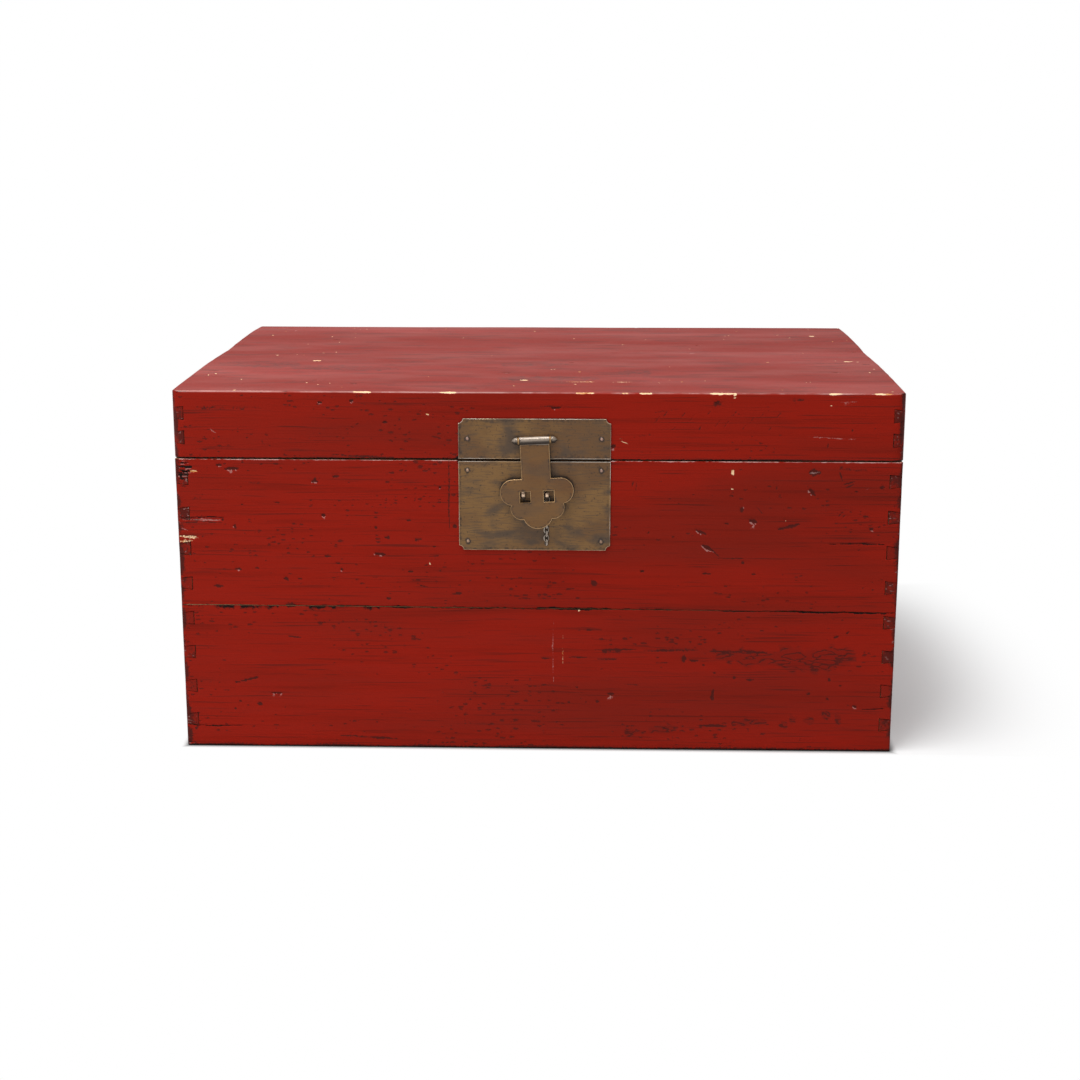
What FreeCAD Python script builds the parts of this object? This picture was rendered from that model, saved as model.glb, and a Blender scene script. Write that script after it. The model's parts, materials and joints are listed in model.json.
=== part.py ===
import FreeCAD, Part
import math
import os

# A lacquered trunk: a dovetailed carcass of wide boards, a framed lid with a planked top,
# a brass lock with a hanging hasp, two back hinges and two bail handles.
# Millimetres. +Z is up and +Y points to the back. The origin is on the floor, under the
# middle of the carcass.

# Carcass
body_width = 800.0
body_depth = 570.0
body_height = 334.0
wall_thickness = 14.0
front_seam_height = 165.5
front_seam_fall = 4.0
back_seam_height = 172.0
end_seam_height = 212.0
bottom_thickness = 12.0
bottom_rebate = 7.0
bottom_plank_count = 3

# Lid
lid_side_overhang = 1.0
lid_frame_height = 65.0
lid_wall_thickness = 13.0
top_edge_thickness = 10.0
top_crown = 2.0
top_seam_from_middle = 42.0
seam_gap = 0.8
lid_open_angle = 105.0

# Worn edges
corner_round = 3.0
top_edge_round = 3.0
rim_round = 1.2
foot_round = 1.5

# Dovetails: the pins belong to the end boards and show on the front and back
pin_height = 13.0
pin_slope = 0.12
body_first_pin = 32.0
body_pin_pitch = 40.0
lid_first_pin = 23.0
lid_pin_pitch = 27.0

# Dowels and pegs inside the joints
dowel_radius = 3.0
dowel_length = 32.0
small_dowel_radius = 2.0
small_dowel_length = 14.0
peg_radius = 1.6
peg_length = 27.0
dowel_clearance = 0.05
dowel_end_gap = 0.5
front_dowel_count = 4
end_dowel_count = 3

# Brass plates and their nails
plate_thickness = 1.5
plate_notch_radius = 5.0
plate_edge_gap = 1.0
nail_inset = 10.0
nail_head_radius = 2.3
nail_head_height = 1.2
nail_shank_radius = 1.0
nail_length = 11.0
nail_clearance = 0.05

# Lock plates
lock_from_middle = -2.8
lock_plate_width = 167.0
lock_upper_height = 44.5
lock_lower_height = 100.0

# Hasp: a neck that widens into a head of five round lobes
hasp_axis_above_lid_edge = 22.5
hasp_thickness = 2.0
hasp_neck_width = 32.0
hasp_skew = 2.8
hasp_lean = 3.5
hasp_roll_radius = 4.2
side_lobe_radius = 14.4
side_lobe_from_middle = 26.0
side_lobe_drop = 56.5
low_lobe_radius = 12.6
low_lobe_from_middle = 17.0
low_lobe_drop = 74.5
tip_lobe_radius = 16.6
tip_lobe_drop = 81.0
hasp_hole_width = 11.4
hasp_hole_height = 12.3
hasp_hole_drop = 62.0
hasp_hole_spacing = 26.0

# Pins that the hasp and the hinges turn on
pin_radius = 2.0
pin_clearance = 0.08
pin_tip_length = 3.6
pin_tip_radius = 0.7
knuckle_end_gap = 0.3
face_clearance = 0.2

# Split eyes: a ring, a shank through the wall, and two tails bent over inside
eye_tail_length = 11.0
eye_tail_thickness = 1.4
eye_hole_clearance = 0.1

# Lock staples and the short chain that hangs from the right one
staple_wire_radius = 1.5
staple_bend_radius = 3.0
staple_reach = 6.7
staple_tail_length = 8.0
chain_ring_radius = 3.4
chain_ring_wire = 0.6
chain_ring_play = 0.1
chain_ring_to_link = 0.45
chain_link_wire = 0.55
chain_link_inner_length = 5.0
chain_link_inner_width = 2.4
chain_link_play = 0.15
chain_link_count = 10
chain_link_turn = 45.0

# Back hinges
hinge_from_middle = 235.0
hinge_leaf_width = 62.0
hinge_lid_leaf_height = 46.0
hinge_body_leaf_height = 58.0
hinge_leaf_thickness = 1.6
hinge_knuckle_radius = 4.5
hinge_middle_knuckle = 22.0
hinge_stop_length = 10.0
hinge_stop_thickness = 2.0
hinge_stop_gap = 0.3

# Bail handles on the two ends
handle_height = 250.0
handle_plate_width = 150.0
handle_plate_above = 26.0
handle_plate_below = 34.0
handle_wire_radius = 4.0
handle_knob_radius = 5.0
handle_eye_spacing = 104.0
handle_eye_wire = 1.6
handle_arm_spacing = 80.0
handle_tip_beyond_eye = 9.0
handle_drop = 60.0
handle_elbow_radius = 9.0
handle_grip_radius = 20.0

# Places worked out from the sizes above
half_width = body_width / 2
half_depth = body_depth / 2
inner_half_width = half_width - wall_thickness
bottom_half_width = inner_half_width + bottom_rebate
bottom_half_depth = half_depth - wall_thickness + bottom_rebate
bottom_plank_depth = 2 * bottom_half_depth / bottom_plank_count
lid_half_width = half_width + lid_side_overhang
lid_bottom = body_height + seam_gap
lid_frame_top = lid_bottom + lid_frame_height
top_edge = lid_frame_top + top_edge_thickness

wall_seams = {
    "front": (front_seam_height, front_seam_fall),
    "back": (back_seam_height, 0.0),
    "left": (end_seam_height, 0.0),
    "right": (end_seam_height, 0.0),
}
SIDES = (("left", -1), ("right", 1))
TOLERANCE = 1e-6
X_AXIS = FreeCAD.Vector(1, 0, 0)
Y_AXIS = FreeCAD.Vector(0, 1, 0)
Z_AXIS = FreeCAD.Vector(0, 0, 1)
ORIGIN = FreeCAD.Vector(0, 0, 0)


# Small helpers


def point(x, y, z):
    return FreeCAD.Vector(x, y, z)


def block(x_a, x_b, y_a, y_b, z_a, z_b):
    low = point(min(x_a, x_b), min(y_a, y_b), min(z_a, z_b))
    return Part.makeBox(abs(x_b - x_a), abs(y_b - y_a), abs(z_b - z_a), low)


def rod(start, end, radius):
    along = end - start
    return Part.makeCylinder(radius, along.Length, start, along)


def prism(corners, along):
    return Part.Face(Part.makePolygon(corners + corners[:1])).extrude(along)


def union(shapes):
    return shapes[0].multiFuse(shapes[1:]).removeSplitter()


def cut_all(shape, cutters):
    return shape.cut(Part.makeCompound(cutters)) if cutters else shape


def turned(shape, centre, axis, degrees):
    copy = shape.copy()
    copy.rotate(centre, axis, degrees)
    return copy


def shifted(shape, vector):
    copy = shape.copy()
    copy.translate(vector)
    return copy


def spread(count, low, high):
    step = (high - low) / count
    return [low + (i + 0.5) * step for i in range(count)]


def is_upright(edge):
    ends = [vertex.Point for vertex in edge.Vertexes]
    return len(ends) == 2 and abs(abs((ends[1] - ends[0]).z) - edge.Length) < TOLERANCE


def lies_at(edge, height):
    return all(abs(vertex.Z - height) < TOLERANCE for vertex in edge.Vertexes)


def swept_wire(edges, radius):
    """A round wire along straight runs and tangent arcs, given in order."""
    path = Part.Wire(Part.__sortEdges__(edges))
    start = path.OrderedVertexes[0].Point
    first = path.OrderedEdges[0]
    towards = first.tangentAt(first.FirstParameter)
    section = Part.Wire([Part.makeCircle(radius, start, towards)])
    return path.makePipeShell([section], True, False)


# Dovetailed frames: the front and back hold the tails, the end boards hold the pins


def worn_block(half_x, z_low, z_high, low_round, high_round):
    """The outer form with worn edges, which the boards of a frame are trimmed to."""
    form = block(-half_x, half_x, -half_depth, half_depth, z_low, z_high)
    form = form.makeFillet(corner_round, [e for e in form.Edges if is_upright(e)])
    for height, radius in ((z_low, low_round), (z_high, high_round)):
        if radius:
            form = form.makeFillet(radius, [e for e in form.Edges if lies_at(e, height)])
    return form


def dovetail_pin(side, x_outer, thickness, y_low, y_high, middle):
    """A pin that widens from the outer face to the inner face of its end board."""
    flare = pin_slope * thickness / 2
    x_inner = x_outer - thickness
    corners = [
        point(side * x_inner, y_low, middle - pin_height / 2 - flare),
        point(side * x_outer, y_low, middle - pin_height / 2 + flare),
        point(side * x_outer, y_low, middle + pin_height / 2 - flare),
        point(side * x_inner, y_low, middle + pin_height / 2 + flare),
    ]
    return prism(corners, point(0, y_high - y_low, 0))


def dovetailed_frame(half_x, z_low, z_high, thickness, first_pin, pitch, form):
    inner = half_depth - thickness
    pin_count = int((z_high - z_low - first_pin - pin_height) / pitch) + 1
    middles = [z_low + first_pin + i * pitch for i in range(pin_count)]
    faces = {"front": (-half_depth, -inner), "back": (inner, half_depth)}
    boards = {}
    pins = {}
    for end, side in SIDES:
        for face, (y_low, y_high) in faces.items():
            pins[end, face] = [
                dovetail_pin(side, half_x, thickness, y_low, y_high, z) for z in middles
            ]
        core = block(side * half_x, side * (half_x - thickness), -inner, inner, z_low, z_high)
        boards[end] = union([core] + pins[end, "front"] + pins[end, "back"])
    for face, (y_low, y_high) in faces.items():
        board = block(-half_x, half_x, y_low, y_high, z_low, z_high)
        boards[face] = cut_all(board, pins["left", face] + pins["right", face])
    return {name: board.common(form).removeSplitter() for name, board in boards.items()}


# Carcass


def seam_height(face, x):
    middle, fall = wall_seams[face]
    return middle - fall * x / body_width


def below_seam(face):
    """Everything lower than the seam between the two boards of a wall."""
    corners = [
        point(-body_width, -body_depth, -body_height),
        point(body_width, -body_depth, -body_height),
        point(body_width, -body_depth, seam_height(face, body_width)),
        point(-body_width, -body_depth, seam_height(face, -body_width)),
    ]
    return prism(corners, point(0, 2 * body_depth, 0))


def carcass_boards():
    form = worn_block(half_width, 0, body_height, foot_round, rim_round)
    walls = dovetailed_frame(
        half_width, 0, body_height, wall_thickness, body_first_pin, body_pin_pitch, form
    )
    panel = block(
        -bottom_half_width,
        bottom_half_width,
        -bottom_half_depth,
        bottom_half_depth,
        0,
        bottom_thickness,
    )
    boards = {}
    for face, wall in walls.items():
        low = below_seam(face)
        boards[face + "_lower_board"] = wall.common(low).cut(panel)
        boards[face + "_upper_board"] = wall.cut(low)
    return boards


def bottom_planks():
    planks = {}
    for i in range(bottom_plank_count):
        y = i * bottom_plank_depth - bottom_half_depth
        planks["bottom_plank_%d" % (i + 1)] = block(
            -bottom_half_width, bottom_half_width, y, y + bottom_plank_depth, 0, bottom_thickness
        )
    return planks


# Lid


def lid_frame_boards():
    form = worn_block(lid_half_width, lid_bottom, lid_frame_top, rim_round, 0)
    frame = dovetailed_frame(
        lid_half_width,
        lid_bottom,
        lid_frame_top,
        lid_wall_thickness,
        lid_first_pin,
        lid_pin_pitch,
        form,
    )
    return {"lid_%s_board" % face: board for face, board in frame.items()}


def crowned_plank(y_outer):
    """A top plank from one long edge of the lid to the seam, a little thicker in its middle."""
    y_seam = top_seam_from_middle
    low = [point(-lid_half_width, y, lid_frame_top) for y in (y_outer, y_seam)]
    high = [point(-lid_half_width, y, top_edge) for y in (y_outer, y_seam)]
    crest = point(-lid_half_width, (y_outer + y_seam) / 2, top_edge + top_crown)
    outline = [
        Part.makeLine(low[0], low[1]),
        Part.makeLine(low[1], high[1]),
        Part.Arc(high[1], crest, high[0]).toShape(),
        Part.makeLine(high[0], low[0]),
    ]
    plank = Part.Face(Part.Wire(outline)).extrude(point(2 * lid_half_width, 0, 0))

    def is_outer(edge):
        middle = edge.valueAt((edge.FirstParameter + edge.LastParameter) / 2)
        at_outer = abs(middle.y - y_outer) < TOLERANCE
        at_end = abs(abs(middle.x) - lid_half_width) < TOLERANCE
        if is_upright(edge):
            return at_outer
        return middle.z > lid_frame_top + TOLERANCE and (at_outer or at_end)

    return plank.makeFillet(top_edge_round, [e for e in plank.Edges if is_outer(e)])


def lid_top_planks():
    return {
        "lid_top_front_plank": crowned_plank(-half_depth),
        "lid_top_back_plank": crowned_plank(half_depth),
    }


# Dowels and pegs: each comes as a pair of the rod itself and the hole that it sits in


def seated_rod(middle, along, length, radius):
    half = along * (length / 2)
    hole_half = along * (length / 2 + dowel_end_gap)
    inside = rod(middle - half, middle + half, radius)
    hole = rod(middle - hole_half, middle + hole_half, radius + dowel_clearance)
    return inside, hole


def round_the_frame(half_x, inset):
    """Dowel places along the middle of the four walls, with the name of each wall."""
    places = []
    for x in spread(front_dowel_count, -half_x, half_x):
        places += [("front", x, inset - half_depth), ("back", x, half_depth - inset)]
    for y in spread(end_dowel_count, -half_depth, half_depth):
        places += [("left", inset - half_x, y), ("right", half_x - inset, y)]
    return places


def wall_dowels():
    return [
        seated_rod(point(x, y, seam_height(face, x)), Z_AXIS, dowel_length, dowel_radius)
        for face, x, y in round_the_frame(half_width, wall_thickness / 2)
    ]


def bottom_dowels():
    seams = [i * bottom_plank_depth - bottom_half_depth for i in range(1, bottom_plank_count)]
    return [
        seated_rod(point(x, y, bottom_thickness / 2), Y_AXIS, dowel_length, dowel_radius)
        for y in seams
        for x in spread(front_dowel_count, -bottom_half_width, bottom_half_width)
    ]


def bottom_pegs():
    inset = bottom_rebate / 2
    places = []
    for x in spread(front_dowel_count + 1, -inner_half_width, inner_half_width):
        places += [(x, inset - bottom_half_depth), (x, bottom_half_depth - inset)]
    for y in spread(bottom_plank_count, -bottom_half_depth, bottom_half_depth):
        places += [(inset - bottom_half_width, y), (bottom_half_width - inset, y)]
    pegs = []
    for x, y in places:
        peg = rod(point(x, y, 0), point(x, y, peg_length), peg_radius)
        hole_top = point(x, y, peg_length + dowel_end_gap)
        pegs.append((peg, rod(point(x, y, 0), hole_top, peg_radius + dowel_clearance)))
    return pegs


def lid_frame_dowels():
    return [
        seated_rod(point(x, y, lid_frame_top), Z_AXIS, small_dowel_length, small_dowel_radius)
        for _, x, y in round_the_frame(lid_half_width, lid_wall_thickness / 2)
    ]


def lid_plank_dowels():
    y = top_seam_from_middle
    z = lid_frame_top + top_edge_thickness / 2
    return [
        seated_rod(point(x, y, z), Y_AXIS, dowel_length, small_dowel_radius)
        for x in spread(front_dowel_count, -lid_half_width, lid_half_width)
    ]


# Brass plates, nails and split eyes. They are made on the plane y = 0, facing -Y, and then
# turned and moved to where they belong.


def notched_plate(width, z_low, z_high, thickness, notched_heights):
    plate = block(-width / 2, width / 2, -thickness, 0, z_low, z_high)
    notches = [
        rod(point(x, -thickness, z), point(x, 0, z), plate_notch_radius)
        for x in (-width / 2, width / 2)
        for z in notched_heights
    ]
    return cut_all(plate, notches)


def nail(x, z, plate):
    """A domed nail driven along +Y through a plate, with the hole that it needs."""
    head_ball = (nail_head_radius**2 + nail_head_height**2) / (2 * nail_head_height)
    ball = Part.makeSphere(head_ball, point(x, head_ball - plate - nail_head_height, z))
    head = ball.common(
        block(
            x - head_ball, x + head_ball, -plate - nail_head_height, -plate, z - head_ball, z + head_ball
        )
    )
    tip = nail_length - plate
    shank = rod(point(x, -plate, z), point(x, tip, z), nail_shank_radius)
    hole_end = point(x, tip + dowel_end_gap, z)
    hole = rod(point(x, -plate, z), hole_end, nail_shank_radius + nail_clearance)
    return union([head, shank]), hole


def split_eye(ring_hole, wire, standoff, wall):
    """A ring about the X axis at the origin, with its shank along +Y through plate and wall.

    standoff is the distance from the ring's centre to the plate's outer face. The shank is
    two strips side by side, one above the other, and each strip ends in one tail.
    """
    inner_face = standoff + plate_thickness + wall
    tail_face = inner_face + eye_tail_thickness
    half_shank = 2 * wire
    half_hole = half_shank + eye_hole_clearance
    hole_side = wire + eye_hole_clearance
    ring = Part.makeTorus(ring_hole + wire, wire, ORIGIN, X_AXIS)
    shank = block(-wire, wire, ring_hole + wire, tail_face, -half_shank, half_shank)
    tails = block(-wire, wire, inner_face, tail_face, -eye_tail_length, eye_tail_length)
    bore = rod(point(-standoff, 0, 0), point(standoff, 0, 0), ring_hole)
    hole = block(-hole_side, hole_side, standoff, inner_face, -half_hole, half_hole)
    return union([ring, shank, tails]).cut(bore), hole


def pointed_pin(half_length):
    """A pin along X whose two ends are drawn out to blunt points."""
    pieces = [rod(point(-half_length, 0, 0), point(half_length, 0, 0), pin_radius)]
    for _, side in SIDES:
        start = point(side * half_length, 0, 0)
        pieces.append(
            Part.makeCone(pin_radius, pin_tip_radius, pin_tip_length, start, X_AXIS * side)
        )
    return union(pieces)


# Lock: two plates, the hasp on its pin, two staples and a chain

pin_hole = pin_radius + pin_clearance
lock_place = point(lock_from_middle, -half_depth, 0)
lock_face = -half_depth - plate_thickness
lock_split_low = body_height - plate_edge_gap
lock_split_high = lid_bottom + plate_edge_gap
lock_low = lock_split_low - lock_lower_height
lock_high = lock_split_high + lock_upper_height
hasp_standoff = hasp_roll_radius + face_clearance
hasp_pivot = point(
    lock_from_middle, lock_face - hasp_standoff, lid_bottom + hasp_axis_above_lid_edge
)
hasp_eye_wire = (hasp_roll_radius - pin_hole) / 2
hasp_eye_from_middle = hasp_neck_width / 2 + knuckle_end_gap + hasp_eye_wire
staple_height = hasp_pivot.z - hasp_hole_drop
staple_bow_y = lock_face - staple_reach + staple_wire_radius + staple_bend_radius


def lock_plates():
    spans = {
        "lock_plate_upper": (lock_split_high, lock_high, lock_high),
        "lock_plate_lower": (lock_low, lock_split_low, lock_low),
    }
    return {
        name: shifted(
            notched_plate(lock_plate_width, low, high, plate_thickness, [notched]), lock_place
        )
        for name, (low, high, notched) in spans.items()
    }


def lock_nails():
    across = lock_plate_width / 2 - nail_inset
    levels = {
        "lock_upper_nails": [(lock_split_high + lock_high) / 2],
        "lock_lower_nails": [lock_low + nail_inset, lock_split_low - nail_inset],
    }
    return {
        name: [
            tuple(shifted(shape, lock_place) for shape in nail(x, z, plate_thickness))
            for x in (-across, across)
            for z in heights
        ]
        for name, heights in levels.items()
    }


def hung(shape):
    """Moves a piece from the origin to the hasp's pivot, at the slight skew it hangs with."""
    return shifted(turned(shape, ORIGIN, Y_AXIS, -hasp_skew), hasp_pivot)


def hasp_eyes():
    eyes = {}
    for end, side in SIDES:
        place = point(side * hasp_eye_from_middle, 0, 0)
        pair = split_eye(pin_hole, hasp_eye_wire, hasp_standoff, lid_wall_thickness)
        eyes["hasp_%s_eye" % end] = tuple(hung(shifted(shape, place)) for shape in pair)
    return eyes


def hasp_pin():
    return hung(pointed_pin(hasp_eye_from_middle + hasp_eye_wire + knuckle_end_gap))


def hasp():
    """The hasp hangs from its roll, leaning out over the staples and the chain."""
    half = hasp_thickness / 2
    half_neck = hasp_neck_width / 2

    def slab(x_a, x_b, drop_a, drop_b):
        return block(x_a, x_b, -half, half, -drop_a, -drop_b)

    def disc(x, drop, radius):
        return rod(point(x, -half, -drop), point(x, half, -drop), radius)

    shoulder = side_lobe_drop - side_lobe_radius
    pieces = [
        slab(-half_neck, half_neck, 0, side_lobe_drop),
        slab(-side_lobe_from_middle, side_lobe_from_middle, shoulder, low_lobe_drop),
        slab(-low_lobe_from_middle, low_lobe_from_middle, side_lobe_drop, tip_lobe_drop),
        disc(0, tip_lobe_drop, tip_lobe_radius),
        rod(point(-half_neck, 0, 0), point(half_neck, 0, 0), hasp_roll_radius),
    ]
    holes = [rod(point(-half_neck, 0, 0), point(half_neck, 0, 0), pin_hole)]
    for _, side in SIDES:
        pieces.append(disc(side * side_lobe_from_middle, side_lobe_drop, side_lobe_radius))
        pieces.append(disc(side * low_lobe_from_middle, low_lobe_drop, low_lobe_radius))
        middle = side * hasp_hole_spacing / 2
        holes.append(
            slab(
                middle - hasp_hole_width / 2,
                middle + hasp_hole_width / 2,
                hasp_hole_drop - hasp_hole_height / 2,
                hasp_hole_drop + hasp_hole_height / 2,
            )
        )
    flat = cut_all(union(pieces), holes)
    return hung(turned(flat, ORIGIN, X_AXIS, -hasp_lean))


def lock_staple(side):
    """A wire bow that stands out of the lower plate; its two legs are bent over inside."""
    x = lock_from_middle + side * hasp_hole_spacing / 2
    bend = staple_bend_radius
    inner_face = wall_thickness - half_depth
    tail_y = inner_face + staple_wire_radius
    bend_y = tail_y - bend
    hole_radius = staple_wire_radius + eye_hole_clearance
    half_turn = math.sqrt(0.5) * bend
    lower, upper = staple_height - bend, staple_height + bend
    bow = Part.Arc(
        point(x, staple_bow_y, lower),
        point(x, staple_bow_y - bend, staple_height),
        point(x, staple_bow_y, upper),
    )
    edges = [bow.toShape()]
    holes = []
    for z, up in ((lower, -1), (upper, 1)):
        tail_z = z + up * bend
        corner = Part.Arc(
            point(x, bend_y, z),
            point(x, bend_y + half_turn, tail_z - up * half_turn),
            point(x, tail_y, tail_z),
        )
        edges += [
            Part.makeLine(point(x, staple_bow_y, z), point(x, bend_y, z)),
            corner.toShape(),
            Part.makeLine(
                point(x, tail_y, tail_z), point(x, tail_y, tail_z + up * staple_tail_length)
            ),
        ]
        holes.append(rod(point(x, lock_face, z), point(x, inner_face, z), hole_radius))
        # The wall is hollowed a little where the leg bends over
        hollow_z = tail_z + up * eye_hole_clearance
        holes.append(block(x - hole_radius, x + hole_radius, bend_y, inner_face, z, hollow_z))
    return swept_wire(edges, staple_wire_radius), holes


def chain_link():
    """A long link in the XZ plane about the origin."""
    bend = chain_link_inner_width / 2 + chain_link_wire
    half_straight = (chain_link_inner_length - chain_link_inner_width) / 2
    reach = bend + chain_link_wire
    whole_ring = Part.makeTorus(bend, chain_link_wire, ORIGIN, Y_AXIS)
    pieces = []
    for _, side in SIDES:
        half_ring = whole_ring.common(block(-reach, reach, -reach, reach, 0, side * reach))
        pieces.append(shifted(half_ring, Z_AXIS * (side * half_straight)))
        x = side * bend
        pieces.append(rod(point(x, 0, -half_straight), point(x, 0, half_straight), chain_link_wire))
    return union(pieces)


def staple_chain():
    """A ring round the right staple's lower leg, and the links that hang from it."""
    x = lock_from_middle + hasp_hole_spacing / 2
    ring_top = staple_height - staple_bend_radius + staple_wire_radius + chain_ring_play
    ring_z = ring_top + chain_ring_wire - chain_ring_radius
    ring = Part.makeTorus(chain_ring_radius, chain_ring_wire, point(x, staple_bow_y, ring_z), Y_AXIS)
    ring_inside = ring_z - chain_ring_radius + chain_ring_wire
    pitch = chain_link_inner_length - chain_link_play
    first_z = ring_inside + chain_ring_to_link - chain_link_inner_length / 2
    link = chain_link()
    pieces = [ring]
    for i in range(chain_link_count):
        turn = chain_link_turn - 90 * (i % 2)
        place = point(x, staple_bow_y, first_z - i * pitch)
        pieces.append(shifted(turned(link, ORIGIN, Z_AXIS, turn), place))
    return pieces


# Hinges: the lid leaf carries the middle knuckle and a stop tail that lands on the body leaf

hinge_axis = point(0, half_depth + hinge_knuckle_radius + face_clearance, body_height + seam_gap / 2)
hinge_clear_radius = hinge_knuckle_radius + face_clearance
hinge_half_leaf = hinge_leaf_width / 2
hinge_half_middle = hinge_middle_knuckle / 2
hinge_outer_start = hinge_half_middle + knuckle_end_gap


def on_back(shape):
    """Turns a piece from the plane y = 0 to the back face of the trunk."""
    return shifted(turned(shape, ORIGIN, Z_AXIS, 180), point(0, half_depth, 0))


def along_hinge(x_low, x_high, radius):
    return rod(hinge_axis + X_AXIS * x_low, hinge_axis + X_AXIS * x_high, radius)


def hinge_bore():
    return along_hinge(-hinge_half_leaf, hinge_half_leaf, pin_hole)


def hinge_lid_leaf():
    z = hinge_axis.z
    top = z + hinge_lid_leaf_height
    leaf = on_back(notched_plate(hinge_leaf_width, z, top, hinge_leaf_thickness, [top]))
    clearings = [
        block(
            side * hinge_half_middle,
            side * hinge_leaf_width,
            half_depth,
            hinge_axis.y,
            z,
            z + hinge_clear_radius,
        )
        for _, side in SIDES
    ]
    stop_face = half_depth + hinge_leaf_thickness + hinge_stop_gap
    landed_stop = block(
        -hinge_half_middle,
        hinge_half_middle,
        stop_face,
        stop_face + hinge_stop_thickness,
        z - hinge_stop_length,
        z,
    )
    stop = turned(landed_stop, hinge_axis, X_AXIS, lid_open_angle)
    middle = along_hinge(-hinge_half_middle, hinge_half_middle, hinge_knuckle_radius)
    return union([cut_all(leaf, clearings), middle, stop]).cut(hinge_bore())


def hinge_body_leaf():
    z = hinge_axis.z
    low = z - hinge_body_leaf_height
    leaf = on_back(notched_plate(hinge_leaf_width, low, z, hinge_leaf_thickness, [low]))
    clearing = block(
        -hinge_outer_start,
        hinge_outer_start,
        half_depth,
        hinge_axis.y,
        z - hinge_clear_radius,
        z,
    )
    knuckles = [
        along_hinge(-hinge_half_leaf, -hinge_outer_start, hinge_knuckle_radius),
        along_hinge(hinge_outer_start, hinge_half_leaf, hinge_knuckle_radius),
    ]
    return union([leaf.cut(clearing)] + knuckles).cut(hinge_bore())


def hinge_nails(kind):
    up, leaf_height = {"lid": (1, hinge_lid_leaf_height), "body": (-1, hinge_body_leaf_height)}[kind]
    across = hinge_half_leaf - nail_inset
    drops = (hinge_clear_radius + nail_inset, leaf_height - nail_inset)
    return [
        tuple(on_back(shape) for shape in nail(x, hinge_axis.z + up * drop, hinge_leaf_thickness))
        for x in (-across, across)
        for drop in drops
    ]


# Handles: a bail that swings in two split eyes, made on the plane y = 0 and turned to each end

handle_eye_hole = handle_wire_radius + pin_clearance
handle_standoff = handle_eye_hole + 2 * handle_eye_wire + face_clearance
handle_axis = point(0, -plate_thickness - handle_standoff, handle_height)


def bail():
    half_tip = handle_eye_spacing / 2 + handle_tip_beyond_eye
    half_arm = handle_arm_spacing / 2
    half_grip = half_arm - handle_grip_radius
    elbow_start = half_arm + handle_elbow_radius
    arm_end = handle_grip_radius - handle_drop
    elbow_middle = handle_elbow_radius * (1 - math.sqrt(0.5))
    grip_middle = handle_grip_radius * (1 - math.sqrt(0.5))

    def at(x, z):
        return handle_axis + point(x, 0, z)

    edges = [Part.makeLine(at(-half_grip, -handle_drop), at(half_grip, -handle_drop))]
    knobs = []
    for _, side in SIDES:
        elbow = Part.Arc(
            at(side * elbow_start, 0),
            at(side * (half_arm + elbow_middle), -elbow_middle),
            at(side * half_arm, -handle_elbow_radius),
        )
        bottom = Part.Arc(
            at(side * half_arm, arm_end),
            at(side * (half_arm - grip_middle), grip_middle - handle_drop),
            at(side * half_grip, -handle_drop),
        )
        edges += [
            Part.makeLine(at(side * half_tip, 0), at(side * elbow_start, 0)),
            elbow.toShape(),
            Part.makeLine(at(side * half_arm, -handle_elbow_radius), at(side * half_arm, arm_end)),
            bottom.toShape(),
        ]
        knobs.append(Part.makeSphere(handle_knob_radius, at(side * half_tip, 0)))
    return union([swept_wire(edges, handle_wire_radius)] + knobs)


def on_end(shape, side):
    """Turns a piece from the plane y = 0 to the left (-1) or right (1) end."""
    return shifted(turned(shape, ORIGIN, Z_AXIS, 90 * side), point(side * half_width, 0, 0))


def handle_plate():
    low = handle_height - handle_plate_below
    high = handle_height + handle_plate_above
    return notched_plate(handle_plate_width, low, high, plate_thickness, [low, high])


def handle_nails():
    across = handle_plate_width / 2 - nail_inset
    low = handle_height - handle_plate_below + nail_inset
    high = handle_height + handle_plate_above - nail_inset
    return [nail(x, z, plate_thickness) for x in (-across, across) for z in (low, high)]


def handle_eye(across):
    place = handle_axis + point(across * handle_eye_spacing / 2, 0, 0)
    pair = split_eye(handle_eye_hole, handle_eye_wire, handle_standoff, wall_thickness)
    return tuple(shifted(shape, place) for shape in pair)


# Assembly


class Trunk:
    """The named nodes, each a list of solids, and the holes that are cut through them."""

    def __init__(self):
        self.nodes = {}
        self.holes = {}

    def add(self, name, solids):
        self.nodes.setdefault(name, []).extend(solids)

    def add_seated(self, name, pairs, drilled):
        """Adds the first shape of each pair, and cuts the second out of the named nodes."""
        self.add(name, [piece for piece, _ in pairs])
        for other in drilled:
            self.holes.setdefault(other, []).extend(hole for _, hole in pairs)

    def finished(self):
        done = {}
        for name, solids in self.nodes.items():
            holes = self.holes.get(name, [])
            done[name] = []
            for solid in solids:
                near = [hole for hole in holes if hole.BoundBox.intersect(solid.BoundBox)]
                done[name] += cut_all(solid, near).Solids
        return done


def add_wood(trunk):
    boards = carcass_boards()
    planks = bottom_planks()
    lid_boards = lid_frame_boards()
    top_planks = lid_top_planks()
    for group in (boards, planks, lid_boards, top_planks):
        for name, solid in group.items():
            trunk.add(name, [solid])
    lid_wood = list(lid_boards) + list(top_planks)
    trunk.add_seated("wall_dowels", wall_dowels(), boards)
    trunk.add_seated("bottom_dowels", bottom_dowels(), planks)
    trunk.add_seated("bottom_pegs", bottom_pegs(), list(planks) + list(boards))
    trunk.add_seated("lid_frame_dowels", lid_frame_dowels(), lid_wood)
    trunk.add_seated("lid_plank_dowels", lid_plank_dowels(), top_planks)


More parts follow.
